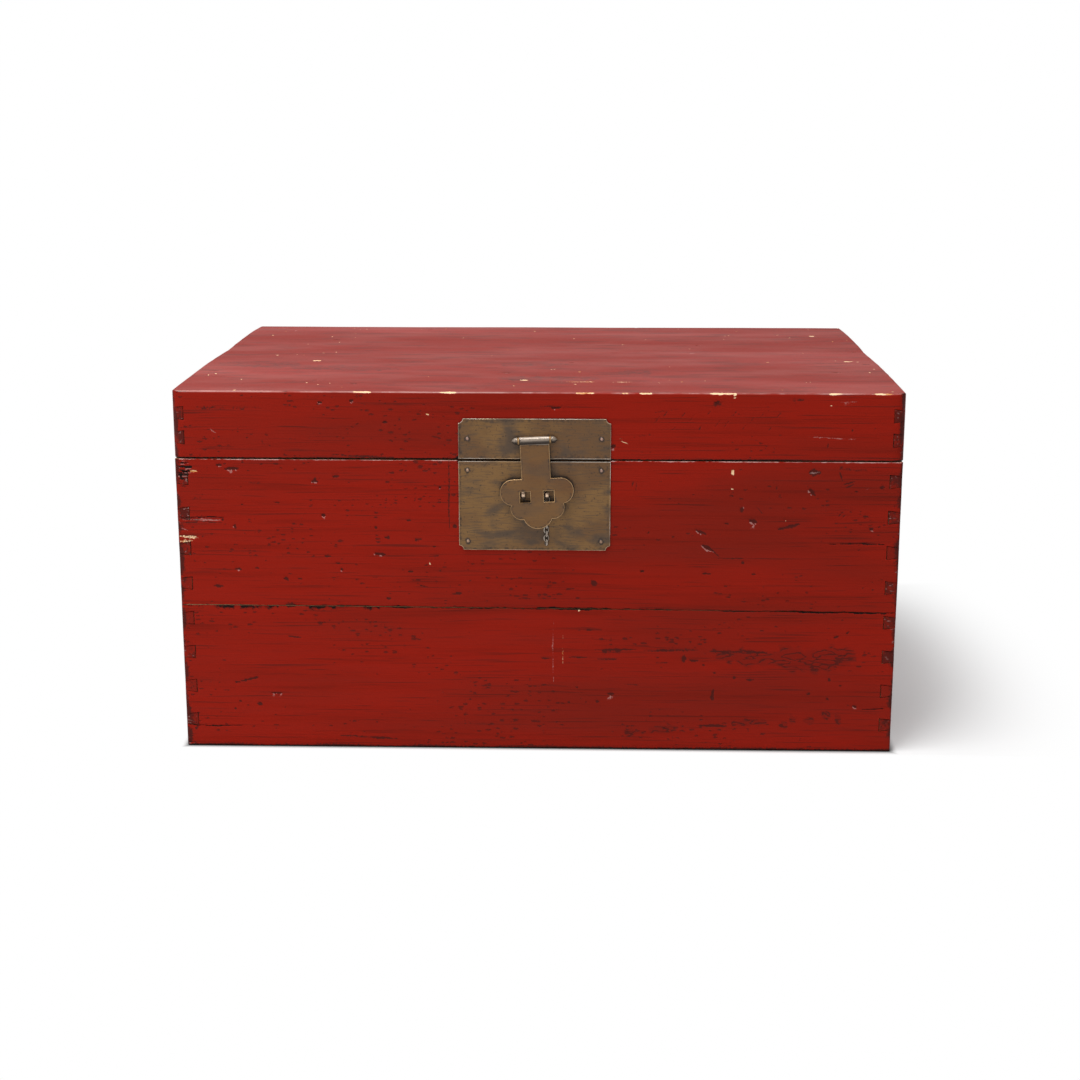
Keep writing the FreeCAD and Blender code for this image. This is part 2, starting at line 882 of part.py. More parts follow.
def add_lock(trunk):
    on_lid = ["lock_plate_upper", "lid_front_board"]
    on_body = ["lock_plate_lower", "front_upper_board", "front_lower_board"]
    nails = lock_nails()
    for name, plate in lock_plates().items():
        trunk.add(name, [plate])
    trunk.add_seated("lock_upper_nails", nails["lock_upper_nails"], on_lid)
    trunk.add_seated("lock_lower_nails", nails["lock_lower_nails"], on_body)
    for name, pair in hasp_eyes().items():
        trunk.add_seated(name, [pair], on_lid)
    trunk.add("hasp_pin", [hasp_pin()])
    trunk.add("hasp", [hasp()])
    for end, side in SIDES:
        staple, holes = lock_staple(side)
        trunk.add_seated(end + "_staple", [(staple, Part.makeCompound(holes))], on_body)
    trunk.add("staple_chain", staple_chain())


def add_hinges(trunk):
    boards = {"lid": ["lid_back_board"], "body": ["back_upper_board", "back_lower_board"]}
    leaves = {"lid": hinge_lid_leaf(), "body": hinge_body_leaf()}
    pin = shifted(pointed_pin(hinge_half_leaf + knuckle_end_gap), hinge_axis)
    for end, side in SIDES:
        place = point(side * hinge_from_middle, 0, 0)
        trunk.add(end + "_hinge_pin", [shifted(pin, place)])
        for kind, leaf in leaves.items():
            leaf_name = "%s_hinge_%s_leaf" % (end, kind)
            trunk.add(leaf_name, [shifted(leaf, place)])
            nails = [tuple(shifted(s, place) for s in pair) for pair in hinge_nails(kind)]
            trunk.add_seated("hinge_%s_nails" % kind, nails, [leaf_name] + boards[kind])


def add_handles(trunk):
    for end, side in SIDES:
        drilled = [end + suffix for suffix in ("_handle_plate", "_upper_board", "_lower_board")]
        trunk.add(end + "_handle_plate", [on_end(handle_plate(), side)])
        trunk.add(end + "_handle", [on_end(bail(), side)])
        for where, across in (("front", -side), ("back", side)):
            eye = tuple(on_end(shape, side) for shape in handle_eye(across))
            trunk.add_seated("%s_handle_%s_eye" % (end, where), [eye], drilled)
        nails = [tuple(on_end(shape, side) for shape in pair) for pair in handle_nails()]
        trunk.add_seated(end + "_handle_nails", nails, drilled)


def save(nodes):
    os.makedirs("parts", exist_ok=True)
    for name, solids in sorted(nodes.items()):
        if not all(solid.isValid() and solid.Volume > 0 for solid in solids):
            raise RuntimeError("%s has a bad solid" % name)
        shape = solids[0] if len(solids) == 1 else Part.makeCompound(solids)
        shape.exportStep(os.path.join("parts", name + ".step"))
        print("%-24s %3d solids %10.1f mm3" % (name, len(solids), shape.Volume))


def build():
    trunk = Trunk()
    add_wood(trunk)
    add_lock(trunk)
    add_hinges(trunk)
    add_handles(trunk)
    return trunk.finished()


save(build())
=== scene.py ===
"""A worn red lacquered trunk with an aged brass lock: its finishes, wear and studio stage."""

import json
import math
import random
from collections import defaultdict, namedtuple

import bmesh
import bpy
import numpy as np
from bpy.props import FloatProperty, FloatVectorProperty, PointerProperty
from mathutils import Matrix, Vector, kdtree, noise


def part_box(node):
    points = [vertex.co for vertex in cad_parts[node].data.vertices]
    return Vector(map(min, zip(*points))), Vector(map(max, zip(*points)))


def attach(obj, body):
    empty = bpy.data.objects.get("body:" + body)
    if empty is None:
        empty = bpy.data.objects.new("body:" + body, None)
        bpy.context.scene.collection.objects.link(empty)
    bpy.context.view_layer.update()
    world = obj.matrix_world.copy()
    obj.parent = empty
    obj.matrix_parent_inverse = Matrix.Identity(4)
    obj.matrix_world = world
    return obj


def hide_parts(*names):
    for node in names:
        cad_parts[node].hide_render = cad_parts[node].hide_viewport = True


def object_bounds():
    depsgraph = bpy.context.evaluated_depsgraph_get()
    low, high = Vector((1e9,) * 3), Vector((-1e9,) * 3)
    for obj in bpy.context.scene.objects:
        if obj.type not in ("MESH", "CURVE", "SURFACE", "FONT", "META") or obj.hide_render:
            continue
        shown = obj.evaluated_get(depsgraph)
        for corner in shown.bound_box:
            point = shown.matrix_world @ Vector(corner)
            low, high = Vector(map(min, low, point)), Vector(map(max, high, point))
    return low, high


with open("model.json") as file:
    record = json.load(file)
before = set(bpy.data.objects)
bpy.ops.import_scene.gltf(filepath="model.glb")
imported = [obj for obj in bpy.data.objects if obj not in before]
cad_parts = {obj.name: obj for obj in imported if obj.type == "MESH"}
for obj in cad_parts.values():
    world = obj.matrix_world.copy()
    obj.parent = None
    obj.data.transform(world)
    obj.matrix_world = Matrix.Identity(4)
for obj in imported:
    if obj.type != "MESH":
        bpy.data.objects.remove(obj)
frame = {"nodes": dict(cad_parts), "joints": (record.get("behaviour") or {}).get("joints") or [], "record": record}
cad_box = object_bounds()

bl_info = {
    "name": "Lacquered trunk",
    "version": (1, 0, 0),
    "blender": (4, 5, 0),
    "location": "3D View > Sidebar > Trunk",
    "description": "Dresses the packed trunk in worn lacquer, bare wood and aged brass",
    "category": "Object",
}

MM = 0.001
BODY_OF = {node: body for body, nodes in frame["record"]["behaviour"]["bodies"].items() for node in nodes}
JOINTS = {joint["name"]: joint for joint in frame["joints"]}
SLOT_OF = {part["node"]: part["material_slot"] for part in frame["record"]["subparts"]}

# Places in a board's or a plate's list of materials
FACE, INSIDE, GROOVE, END, EDGE = 0, 1, 2, 3, 4
RUBBED, ROLL = 1, 2

# Heights of the rims of the carcass and of the lid, painted pale as rubbed wear and as a highlight
CARCASS_RIM = 334 * MM
LID_RIM = 409.8 * MM

# The seam of the lid's top has opened to the right of here, on the upper side of its planks, which
# is at least this far above the frame
OPEN_SEAM_FROM = 160 * MM
PLANK_UPPER_SIDE = 8 * MM

# Bends, in degrees, up to which a surface shades as smooth
BOARD_BEND, PLATE_BEND, TURNED_BEND, LINK_BEND = 38, 30, 50, 60

# Cosines between two faces below which the edge of a board or of a plate is sharp
BOARD_SHARP, PLATE_SHARP = 0.5, 0.6

# The part of a normal that has to look to a side for a mark, and out of a plate for its broad face
TOWARDS_MARK, OUT_OF_PLATE = 0.3, 0.9

# Times that a face under a mark is halved, faces across a mark, and the longest edge that stays
HALVINGS, FACES_ACROSS, LONGEST_EDGE = 4, 2.6, 1.4

# Reach of the wear from a rim, and reach and fading of the scars on an upright corner, in millimetres
RIM_REACH, CORNER_REACH, CORNER_FADE = 1.6, 9, 7

# The black painted shade in the gap behind the lock starts this far up the lower plate and ends this far down the
# upper one
LOWER_PLATE_CLEAR = 98 * MM
UPPER_PLATE_CLEAR = 42 * MM

# How far the roll of the hasp reaches below its axis, and how much broader the staples' bows are
ROLL_REACH = 4.6 * MM
STAPLE_BREADTH = 1.5

# Links of the chain: turn in degrees, radius of the bends, half the straight side, radius of the wire
Link = namedtuple("Link", "turn bend straight wire")
RING = Link(0, 3.4 * MM, 0, 0.6 * MM)
BROAD_LINK = Link(30, 2.5 * MM, 0.7 * MM, 0.75 * MM)
NARROW_LINK = Link(-60, 1.6 * MM, 1.6 * MM, 0.70 * MM)
LINK_COUNT = 10
LINK_PITCH = 4.85 * MM
LAST_LINK_RISE = 3.6 * MM

# Stage: lamps, and the floor's white glow, painted by position so that it leaves the cast shadow beside the trunk
# visible, with a painted contact shadow round its foot
Lamp = namedtuple("Lamp", "place size")
KEY = Lamp((-0.65, -0.85, 3.0), 1.7)
FILL = Lamp((-2.0, -3.6, 1.4), 2.0)
LAMP_TARGET = (0.0, 0.0, 0.2)
SENSOR_WIDTH = 36.0
WHITE = (1, 1, 1, 1)
FLOOR_RADIUS = 30.0
SHADOW_MIDDLE = (0.38, 0.05, 0.0)
SHADOW_NARROWING = (3.3, 1.5, 0.0)
SHADOW_FADE = (0.3, 1.0)
SHADOW_FRONT = (-0.286, -0.300)
SHADOW_BACK = (0.40, 0.47)
SHADOW_GLOW = 0.28
# The painted contact shadow round the trunk's foot: its fade in metres and its grey
CONTACT_SHADOW_FADE = (-3 * MM, 10 * MM)
CONTACT_SHADOW_GREY = (0.16, 0.16, 0.16, 1.0)


def cad_mesh(node):
    return frame["nodes"][node].data


# Sizes and colours that a user would change


def colour(name, description, default):
    return FloatVectorProperty(
        name=name, description=description, default=default, subtype="COLOR", min=0.0, max=1.0
    )


def length(name, description, default):
    return FloatProperty(
        name=name, description=description, default=default, unit="LENGTH", precision=5, min=0.0
    )


class TrunkWood(bpy.types.PropertyGroup):
    """Colours of the lacquer and of the wood under it"""

    red: colour("Red", "Lacquer where it is sound", (0.232, 0.0080, 0.0022))
    deep_red: colour("Deep red", "Lacquer in its duller patches", (0.168, 0.0085, 0.0032))
    grain_red: colour("Grain", "Lacquer sunk into the grain", (0.072, 0.0080, 0.0050))
    scarred: colour("Scarred", "Dirty bottom of dents and scratches", (0.066, 0.0085, 0.0058))
    # Also laid as black painted shade along the lid's lower edge and in the gap behind the lock plates
    grime_and_shade: colour("Grime", "Black dirt in cracks and joints", (0.007, 0.0045, 0.0040))
    # Also laid as a painted highlight on the rims, on upward rounded edges and along the lower edges of dents
    rubbed: colour("Rubbed edge", "Lacquer worn pale along the rims", (0.56, 0.36, 0.33))
    chipped: colour("Chipped wood", "Wood where the lacquer is gone", (0.78, 0.55, 0.33))
    old_chip: colour("Old chip", "Darker wood in older chips", (0.52, 0.22, 0.07))
    raw: colour("Raw wood", "Bare boards inside the trunk", (0.34, 0.20, 0.10))
    raw_dark: colour("Raw wood grain", "Grain of the bare boards", (0.17, 0.09, 0.042))
    bamboo: colour("Bamboo", "Dowels and pegs", (0.46, 0.31, 0.14))


class TrunkBrass(bpy.types.PropertyGroup):
    """Colours of the metal pieces"""

    patina: colour("Patina", "Brass under its brown patina", (0.114, 0.054, 0.018))
    dull: colour("Dull patina", "Greyer, older patches", (0.062, 0.039, 0.024))
    golden: colour("Golden", "Warmer patches", (0.172, 0.088, 0.026))
    brown: colour("Brown patina", "Smooth brown of the hasp", (0.112, 0.048, 0.013))
    roll: colour("Roll", "Barrel that the hasp turns on", (0.098, 0.062, 0.036))
    rubbed: colour("Rubbed", "Bright metal along worn edges", (0.42, 0.26, 0.12))
    bright: colour("Bright", "Staples polished by use", (0.66, 0.48, 0.34))
    copper: colour("Copper", "Domed nail heads", (0.30, 0.18, 0.14))
    # Also the painted highlight on top of the hasp's roll
    silver: colour("Silvery", "Chain links and worn rims", (0.46, 0.40, 0.34))
    # Also laid as painted shade under the roll and the staples' bows, round the nails' flanks, inside the chain
    # links and round what stands on the plates
    tarnish_and_shade: colour("Tarnish", "Dirt in corners and round nails", (0.022, 0.015, 0.011))


class TrunkWear(bpy.types.PropertyGroup):
    """Sizes of the wear and of the meshes that carry it"""

    board_step: length("Board step", "Spacing of points over a board", 6.0 * MM)
    mark_step: length("Mark step", "Closest spacing of points round a mark", 0.7 * MM)
    corner: length("Corner", "Radius of the rubbed corners of the carcass", 3.5 * MM)
    lid_corner: length("Lid corner", "Radius of the rounded corners of the lid", 11.0 * MM)
    foot: length("Foot", "Radius of the rubbed lower edges", 2.6 * MM)
    groove: length("Groove", "Worn edge of each board along its joints", 0.45 * MM)
    warp: length("Warp", "Deepest hollow of an uneven board", 0.7 * MM)
    plate_step: length("Plate step", "Spacing of points over a metal plate", 1.6 * MM)
    plate_edge: length("Plate edge", "Rubbed edge of a metal plate", 0.5 * MM)
    plate_warp: length("Plate warp", "Deepest hollow of a beaten plate", 0.25 * MM)


class TrunkStage(bpy.types.PropertyGroup):
    """Camera, floor and light"""

    camera_place: FloatVectorProperty(
        name="Camera place",
        description="Where the camera stands",
        default=(0.0582, -2.2914, 0.7294),
        subtype="TRANSLATION",
        unit="LENGTH",
    )
    camera_turn: FloatVectorProperty(
        name="Camera turn",
        description="How the camera is turned",
        default=(math.radians(76.414), 0.0, math.radians(1.570)),
        subtype="EULER",
        unit="ROTATION",
    )
    lens: FloatProperty(name="Lens", description="Focal length in millimetres", default=62.17, min=1.0)
    floor: colour("Floor", "Pale floor", (0.80, 0.80, 0.80))
    sky_level: FloatProperty(name="Sky level", description="Light from all round", default=0.30, min=0.0)
    key_power: FloatProperty(name="Key power", description="Soft box over the left", default=120.0, min=0.0)
    fill_power: FloatProperty(name="Fill power", description="Soft box in front", default=30.0, min=0.0)


def settings(group):
    return getattr(bpy.context.scene, "trunk_" + group)


# Node helpers


class Nodes:
    """Adds nodes to one tree. Inputs are plain values or sockets of other nodes."""

    def __init__(self, tree):
        self.tree = tree

    def add(self, kind, inputs=None, **fields):
        node = self.tree.nodes.new("ShaderNode" + kind)
        for name, value in fields.items():
            setattr(node, name, value)
        for key, value in (inputs or {}).items():
            self.feed(node.inputs[key], value)
        return node

    def feed(self, socket, value):
        if isinstance(value, bpy.types.NodeSocket):
            self.tree.links.new(value, socket)
        else:
            socket.default_value = value

    def math(self, operation, a, b=0.0):
        return self.add("Math", {0: a, 1: b}, operation=operation).outputs[0]

    def times(self, a, b):
        return self.math("MULTIPLY", a, b)

    def vector_math(self, operation, a, b):
        return self.add("VectorMath", {0: a, 1: b}, operation=operation).outputs[0]

    def ramp(self, value, low, high):
        """0 below low, 1 above high, and smooth between them; low may be above high."""
        inputs = {"Value": value, "From Min": low, "From Max": high}
        return self.add("MapRange", inputs, interpolation_type="SMOOTHSTEP").outputs["Result"]

    def mix(self, share, a, b):
        return self.add("Mix", {0: share, 6: a, 7: b}, data_type="RGBA").outputs[2]

    def lay(self, shade, mask, share, tone):
        """A tone laid over a shade where the mask says, at most by this share."""
        return self.mix(self.times(mask, share), shade, opaque(tone))

    def stretch(self, vector, factors):
        return self.vector_math("MULTIPLY", vector, factors)

    def noise(self, vector, factors, detail=2.0, distortion=0.0):
        inputs = {
            "Vector": self.stretch(vector, factors),
            "Scale": 1.0,
            "Detail": detail,
            "Distortion": distortion,
        }
        return self.add("TexNoise", inputs).outputs["Fac"]

    def attribute(self, name):
        return self.add("Attribute", attribute_name=name).outputs["Fac"]

    def group(self, tree, inputs):
        return self.add("Group", inputs, node_tree=tree).outputs


def opaque(rgb):
    return (*rgb, 1.0)


def new_group(name, inputs, outputs):
    """An empty node group with its input and output nodes; each socket is (name, type)."""
    tree = bpy.data.node_groups.new(name, "ShaderNodeTree")
    for in_out, sockets in (("INPUT", inputs), ("OUTPUT", outputs)):
        for socket_name, kind in sockets:
            tree.interface.new_socket(socket_name, in_out=in_out, socket_type="NodeSocket" + kind)
    nodes = Nodes(tree)
    entry = tree.nodes.new("NodeGroupInput")
    exit_node = tree.nodes.new("NodeGroupOutput")
    return nodes, entry.outputs, exit_node.inputs


def once(make):
    """Makes a node group or a material the first time it is asked for."""
    made = {}

    def get(*names):
        if names not in made:
            made[names] = make(*names)
        return made[names]

    return get


@once
def board_grain():
    """Grain, patches and small flecks of a board whose grain runs along the vector's X."""
    names = ("Patch", "Streak", "Line", "Fibre", "Flecks", "Outlines")
    outputs = [(name, "Float") for name in names]
    nodes, entry, result = new_group("Board grain", [("Vector", "Vector")], outputs)
    place = entry["Vector"]
    sway = nodes.add("TexNoise", {"Vector": nodes.stretch(place, (3, 14, 14)), "Scale": 1.0, "Detail": 3.0})
    sway = nodes.stretch(sway.outputs["Color"], (0.010, 0.010, 0.010))
    along = nodes.vector_math("ADD", place, sway)
    rough = nodes.add("TexNoise", {"Vector": nodes.stretch(place, (330, 700, 700)), "Scale": 1.0})
    rough = nodes.stretch(rough.outputs["Color"], (0.9, 0.9, 0.9))
    cell_place = nodes.vector_math("ADD", nodes.stretch(along, (190, 470, 470)), rough)
    cells = nodes.add("TexVoronoi", {"Vector": cell_place, "Scale": 1.0})
    chance = nodes.add("SeparateColor", {0: cells.outputs["Color"]}).outputs[0]
    crowd = nodes.ramp(nodes.noise(place, (5, 24, 24)), 0.42, 0.66)
    chance = nodes.math("ADD", chance, nodes.times(crowd, 0.16))
    size = nodes.ramp(chance, 0.90, 1.20)
    inside = nodes.math("SUBTRACT", nodes.times(size, 0.80), cells.outputs["Distance"])
    islands = nodes.noise(along, (55, 190, 190), detail=1.5, distortion=0.3)
    edge = nodes.math("ABSOLUTE", nodes.math("SUBTRACT", islands, 0.5))
    nodes.feed(result["Patch"], nodes.noise(along, (2.4, 11, 11), detail=4.0))
    nodes.feed(result["Streak"], nodes.noise(along, (4.5, 120, 120), detail=5.0))
    nodes.feed(result["Line"], nodes.noise(along, (9, 620, 620), detail=3.0))
    nodes.feed(result["Fibre"], nodes.noise(along, (40, 1500, 1500), detail=2.0))
    nodes.feed(result["Flecks"], nodes.ramp(inside, 0.0, 0.12))
    nodes.feed(result["Outlines"], nodes.ramp(edge, 0.050, 0.020))
    return nodes.tree


@once
def ragged_mask():
    """Breaks up the border of a mask that is stored on the mesh."""
    inputs = [("Mask", "Float"), ("Vector", "Vector"), ("Fineness", "Float")]
    nodes, entry, result = new_group("Ragged mask", inputs, [("Mask", "Float")])
    fine = nodes.add("TexNoise", {"Vector": entry["Vector"], "Scale": entry["Fineness"], "Detail": 3.0})
    shift = nodes.times(nodes.math("SUBTRACT", fine.outputs["Fac"], 0.5), 1.1)
    ragged = nodes.ramp(nodes.math("ADD", entry["Mask"], shift), 0.26, 0.66)
    nodes.feed(result["Mask"], nodes.times(ragged, nodes.ramp(entry["Mask"], 0.02, 0.12)))
    return nodes.tree


@once
def metal_patina():
    """Patches, brush lines and specks of old metal; the brush lines run along X."""
    outputs = [(name, "Float") for name in ("Patch", "Warm", "Brush", "Specks")]
    nodes, entry, result = new_group("Metal patina", [("Vector", "Vector")], outputs)
    along = entry["Vector"]
    nodes.feed(result["Patch"], nodes.noise(along, (24, 42, 42), detail=8.0, distortion=0.2))
    nodes.feed(result["Warm"], nodes.noise(along, (13, 22, 22), detail=4.0))
    nodes.feed(result["Brush"], nodes.noise(along, (70, 900, 900), detail=4.0))
    nodes.feed(result["Specks"], nodes.noise(along, (420, 420, 420), detail=3.0))
    return nodes.tree


# Materials


def new_material(name, **constants):
    """A material with its Principled shader; the constants are set on the shader's own sockets."""
    material = bpy.data.materials.new(name)
    material.use_nodes = True
    nodes = Nodes(material.node_tree)
    shader = material.node_tree.nodes["Principled BSDF"]
    for key, value in constants.items():
        shader.inputs[key.replace("_", " ")].default_value = value
    return material, nodes, shader.inputs


def object_vector(nodes, turned):
    """Places on the piece, with X along the grain; the grain of the ends runs along Y."""
    place = nodes.add("TexCoord").outputs["Object"]
    if not turned:
        return place
    return nodes.add("Mapping", {"Vector": place, "Rotation": (0.0, 0.0, math.radians(90))}).outputs[0]


def surface_normal(nodes):
    """The parts of the normal along X, Y and Z."""
    return nodes.add("SeparateXYZ", {0: nodes.add("TexCoord").outputs["Normal"]}).outputs


def bump(nodes, height, distance):
    inputs = {"Height": height, "Distance": distance, "Strength": 1.0}
    return nodes.add("Bump", inputs).outputs["Normal"]


Lacquer = namedtuple("Lacquer", "streak line fleck stain specular smoothness darken relief")
# Places whose upward rounded edges get pale wear with a painted highlight
ARRIS_HIGHLIGHT_PLACES = ("arris", "top")
SOUND = Lacquer(
    streak=0.36,
    line=0.78,
    fleck=0.75,
    stain=0.25,
    specular=0.07,
    smoothness=0.62,
    darken=0.0,
    relief=0.25 * MM,
)
LACQUERS = {
    "face": SOUND,
    "arris": SOUND,
    "end": SOUND._replace(streak=0.20, line=0.30, smoothness=0.40, darken=0.3),
    "top": Lacquer(
        streak=0.14,
        line=0.10,
        fleck=0.45,
        stain=0.12,
        specular=0.31,
        smoothness=1.2,
        darken=0.4,
        relief=0.015 * MM,
    ),
}


def corner_wear(nodes, vector, red, length):
    """Dirty, cracked lacquer towards the ends of a board, and all over its end grain."""
    wood = settings("wood")
    along = nodes.math("ABSOLUTE", nodes.add("SeparateXYZ", {0: vector}).outputs["X"])
    near = nodes.ramp(along, length / 2 - 11 * MM, length / 2)
    spread = nodes.times(nodes.noise(vector, (32, 32, 32)), 1.2)
    fine = nodes.times(nodes.noise(vector, (150, 280, 280), detail=4.0), 0.7)
    level = nodes.math("ADD", nodes.times(near, 0.55), nodes.math("ADD", spread, fine))
    dirt = nodes.times(nodes.ramp(level, 1.40, 1.62), nodes.ramp(near, 0.02, 0.3))
    red = nodes.lay(red, dirt, 0.85, wood.scarred)
    cracks = nodes.ramp(nodes.noise(vector, (190, 190, 640)), 0.62, 0.68)
    return nodes.lay(red, nodes.times(cracks, dirt), 0.4, wood.rubbed)


def arris_wear_and_highlight(nodes, vector, red):
    """Lacquer paler where an edge is rounded between upright and level and faces up: partly rubbed wear, partly a
    painted highlight.
    """
    level = surface_normal(nodes)["Z"]
    edge = nodes.times(nodes.ramp(level, 0.30, 0.60), nodes.ramp(level, 0.985, 0.90))
    worn = nodes.ramp(nodes.noise(vector, (24, 24, 24), detail=4.0), 0.30, 0.60)
    return nodes.lay(red, nodes.times(edge, worn), 0.45, settings("wood").rubbed)


@once
def lacquer(turned, place):
    """Red lacquer over open grain, with dirty dents, pale rims and edges that are partly rubbed and partly painted
    highlight, black cracks, painted shade in gaps, and chips down to the wood.
    """
    wood = settings("wood")
    coat = LACQUERS[place]
    name = "red_lacquer_" + place + ("_turned" if turned else "")
    material, nodes, shader = new_material(name, Specular_IOR_Level=coat.specular)
    vector = object_vector(nodes, turned)
    grain = nodes.group(board_grain(), {"Vector": vector})

    def mask(attribute, fineness):
        inputs = {"Mask": nodes.attribute(attribute), "Vector": vector, "Fineness": fineness}
        return nodes.group(ragged_mask(), inputs)["Mask"]

    patch = nodes.ramp(grain["Patch"], 0.42 - coat.darken, 0.72 - coat.darken / 3)
    red = nodes.mix(patch, opaque(wood.red), opaque(wood.deep_red))
    layers = (
        ("Streak", 0.54, 0.78, coat.streak, wood.grain_red),
        ("Line", 0.56, 0.72, coat.line, wood.grain_red),
        ("Fibre", 0.48, 0.76, 0.4 * coat.line, wood.deep_red),
        ("Flecks", 0.0, 1.0, coat.fleck, wood.scarred),
    )
    for output, low, high, share, tone in layers:
        red = nodes.lay(red, nodes.ramp(grain[output], low, high), share, tone)
    stain = nodes.ramp(nodes.attribute("root"), 0.1, 0.6)
    red = nodes.lay(red, stain, coat.stain, wood.scarred)
    root = nodes.times(grain["Outlines"], stain)
    red = nodes.lay(red, root, 0.85, wood.scarred)
    if place == "top":
        haze = nodes.ramp(nodes.noise(vector, (7, 19, 19), detail=6.0), 0.40, 0.66)
        red = nodes.lay(red, haze, 0.05, wood.rubbed)
        smoke = nodes.ramp(nodes.noise(vector, (16, 70, 70), detail=7.0), 0.50, 0.68)
        red = nodes.lay(red, smoke, 0.50, wood.grain_red)
    else:
        red = corner_wear(nodes, vector, red, SIDE_LENGTH if turned else FRONT_LENGTH)
    # Painted highlight, with rubbed wear, on the rounded edges that face up
    if place in ARRIS_HIGHLIGHT_PLACES:
        red = arris_wear_and_highlight(nodes, vector, red)
    # Pale rims, partly rubbed lacquer and partly a painted highlight
    red = nodes.lay(red, mask("rub_and_highlight", 160.0), 0.7, wood.rubbed)
    red = nodes.mix(mask("scar", 480.0), red, opaque(wood.scarred))
    red = nodes.mix(mask("black", 480.0), red, opaque(wood.grime_and_shade))
    # Pale marks, and painted highlights along the lower edges of dents, nicks and burrs
    red = nodes.lay(red, mask("edge", 700.0), 0.34, wood.rubbed)
    chip = mask("chip", 520.0)
    age = nodes.ramp(nodes.noise(vector, (60, 160, 160)), 0.50, 0.62)
    red = nodes.mix(chip, red, nodes.mix(age, opaque(wood.chipped), opaque(wood.old_chip)))
    nodes.feed(shader["Base Color"], red)
    gloss = nodes.ramp(grain["Patch" if place == "top" else "Streak"], -coat.smoothness, 1.3)
    nodes.feed(shader["Roughness"], nodes.math("ADD", gloss, nodes.times(chip, 0.3)))
    relief = nodes.math("ADD", grain["Line"], nodes.times(grain["Fibre"], 0.4))
    relief = nodes.math("SUBTRACT", relief, nodes.times(grain["Flecks"], 1.6))
    relief = nodes.math("SUBTRACT", relief, root)
    nodes.feed(shader["Normal"], bump(nodes, relief, coat.relief))
    return material


@once
def raw_wood(turned):
    """Bare, aged boards inside the trunk."""
    wood = settings("wood")
    name = "raw_wood_ends" if turned else "raw_wood"
    material, nodes, shader = new_material(name, Specular_IOR_Level=0.25)
    grain = nodes.group(board_grain(), {"Vector": object_vector(nodes, turned)})
    shade = nodes.mix(nodes.ramp(grain["Streak"], 0.38, 0.68), opaque(wood.raw), opaque(wood.raw_dark))
    shade = nodes.lay(shade, nodes.ramp(grain["Line"], 0.50, 0.72), 0.6, wood.raw_dark)
    shade = nodes.lay(shade, grain["Flecks"], 0.5, wood.grime_and_shade)
    nodes.feed(shader["Base Color"], shade)
    nodes.feed(shader["Roughness"], nodes.ramp(grain["Patch"], -0.9, 1.0))
    nodes.feed(shader["Normal"], bump(nodes, grain["Line"], 0.3 * MM))
    return material


@once
def groove_dirt():
    """Old dirt, with stretches of sound lacquer, in the worn edges along the joints."""
    wood = settings("wood")
    material, nodes, shader = new_material("groove_dirt", Specular_IOR_Level=0.05)
    patch = nodes.noise(object_vector(nodes, False), (110, 110, 110), detail=4.0)
    shade = nodes.mix(nodes.ramp(patch, 0.46, 0.62), opaque(wood.grime_and_shade), opaque(wood.deep_red))
    nodes.feed(shader["Base Color"], shade)
    nodes.feed(shader["Roughness"], nodes.ramp(patch, -1.2, 1.0))
    return material


@once
def bamboo():
    """Pale dowels and pegs with a fine grain."""
    wood = settings("wood")
    material, nodes, shader = new_material("dowel_bamboo", Specular_IOR_Level=0.3)
    grain = nodes.group(board_grain(), {"Vector": object_vector(nodes, False)})
    shade = nodes.mix(nodes.ramp(grain["Line"], 0.45, 0.70), opaque(wood.bamboo), opaque(wood.raw))
    nodes.feed(shader["Base Color"], shade)
    nodes.feed(shader["Roughness"], nodes.ramp(grain["Fibre"], -0.8, 1.0))
    nodes.feed(shader["Normal"], bump(nodes, grain["Line"], 0.1 * MM))
    return material


def upwards(nodes):
    return surface_normal(nodes)["Z"]


def outwards(nodes):
    normal = surface_normal(nodes)
    across = nodes.math("ABSOLUTE", normal["X"])
    return nodes.math("MAXIMUM", across, nodes.math("ABSOLUTE", normal["Y"]))


# Colours of a metal, of its older and of its warmer patches, how strongly they show, how shiny and
# how metallic it is, and tones of painted light and shade by the way that the surface faces, each with low, high
# and share
Metal = namedtuple("Metal", "base patch warm contrast shine metallic facing tones", defaults=(None, ()))
METALS = {
    "aged_brass": Metal("patina", "dull", "golden", 1.25, 0.0, 0.45),
    "brown_brass": Metal("brown", "dull", "golden", 0.55, 0.0, 0.45),
    "rubbed_brass": Metal("rubbed", "golden", "rubbed", 0.8, 0.2, 0.5),
    "pale_rim": Metal("silver", "dull", "rubbed", 1.0, 0.2, 0.5),
    "worn_brass": Metal("golden", "dull", "rubbed", 0.7, 0.3, 0.5),
    "chain_metal": Metal("silver", "golden", "silver", 0.5, 0.5, 0.6),
    # The barrel of the hasp is painted bright on top as a highlight, partly rubbed metal, and painted shade below
    "roll_brass": Metal(
        "roll", "dull", "silver", 0.5, 0.6, 0.6,
        upwards, ((0.50, 0.85, 0.30, "silver"), (0.25, -0.35, 0.9, "tarnish_and_shade")),
    ),
    # The staples are bright metal, with painted shade on the underside of their bows
    "bright_brass": Metal(
        "bright", "golden", "bright", 0.5, 0.5, 0.6, upwards, ((0.06, -0.25, 0.9, "tarnish_and_shade"),)
    ),
    # The nails keep their copper on the crown of the head, with painted shade and dirt round the flanks
    "copper_nail": Metal(
        "copper", "dull", "rubbed", 0.5, 0.6, 0.5, outwards, ((0.97, 0.72, 0.9, "tarnish_and_shade"),)
    ),
}


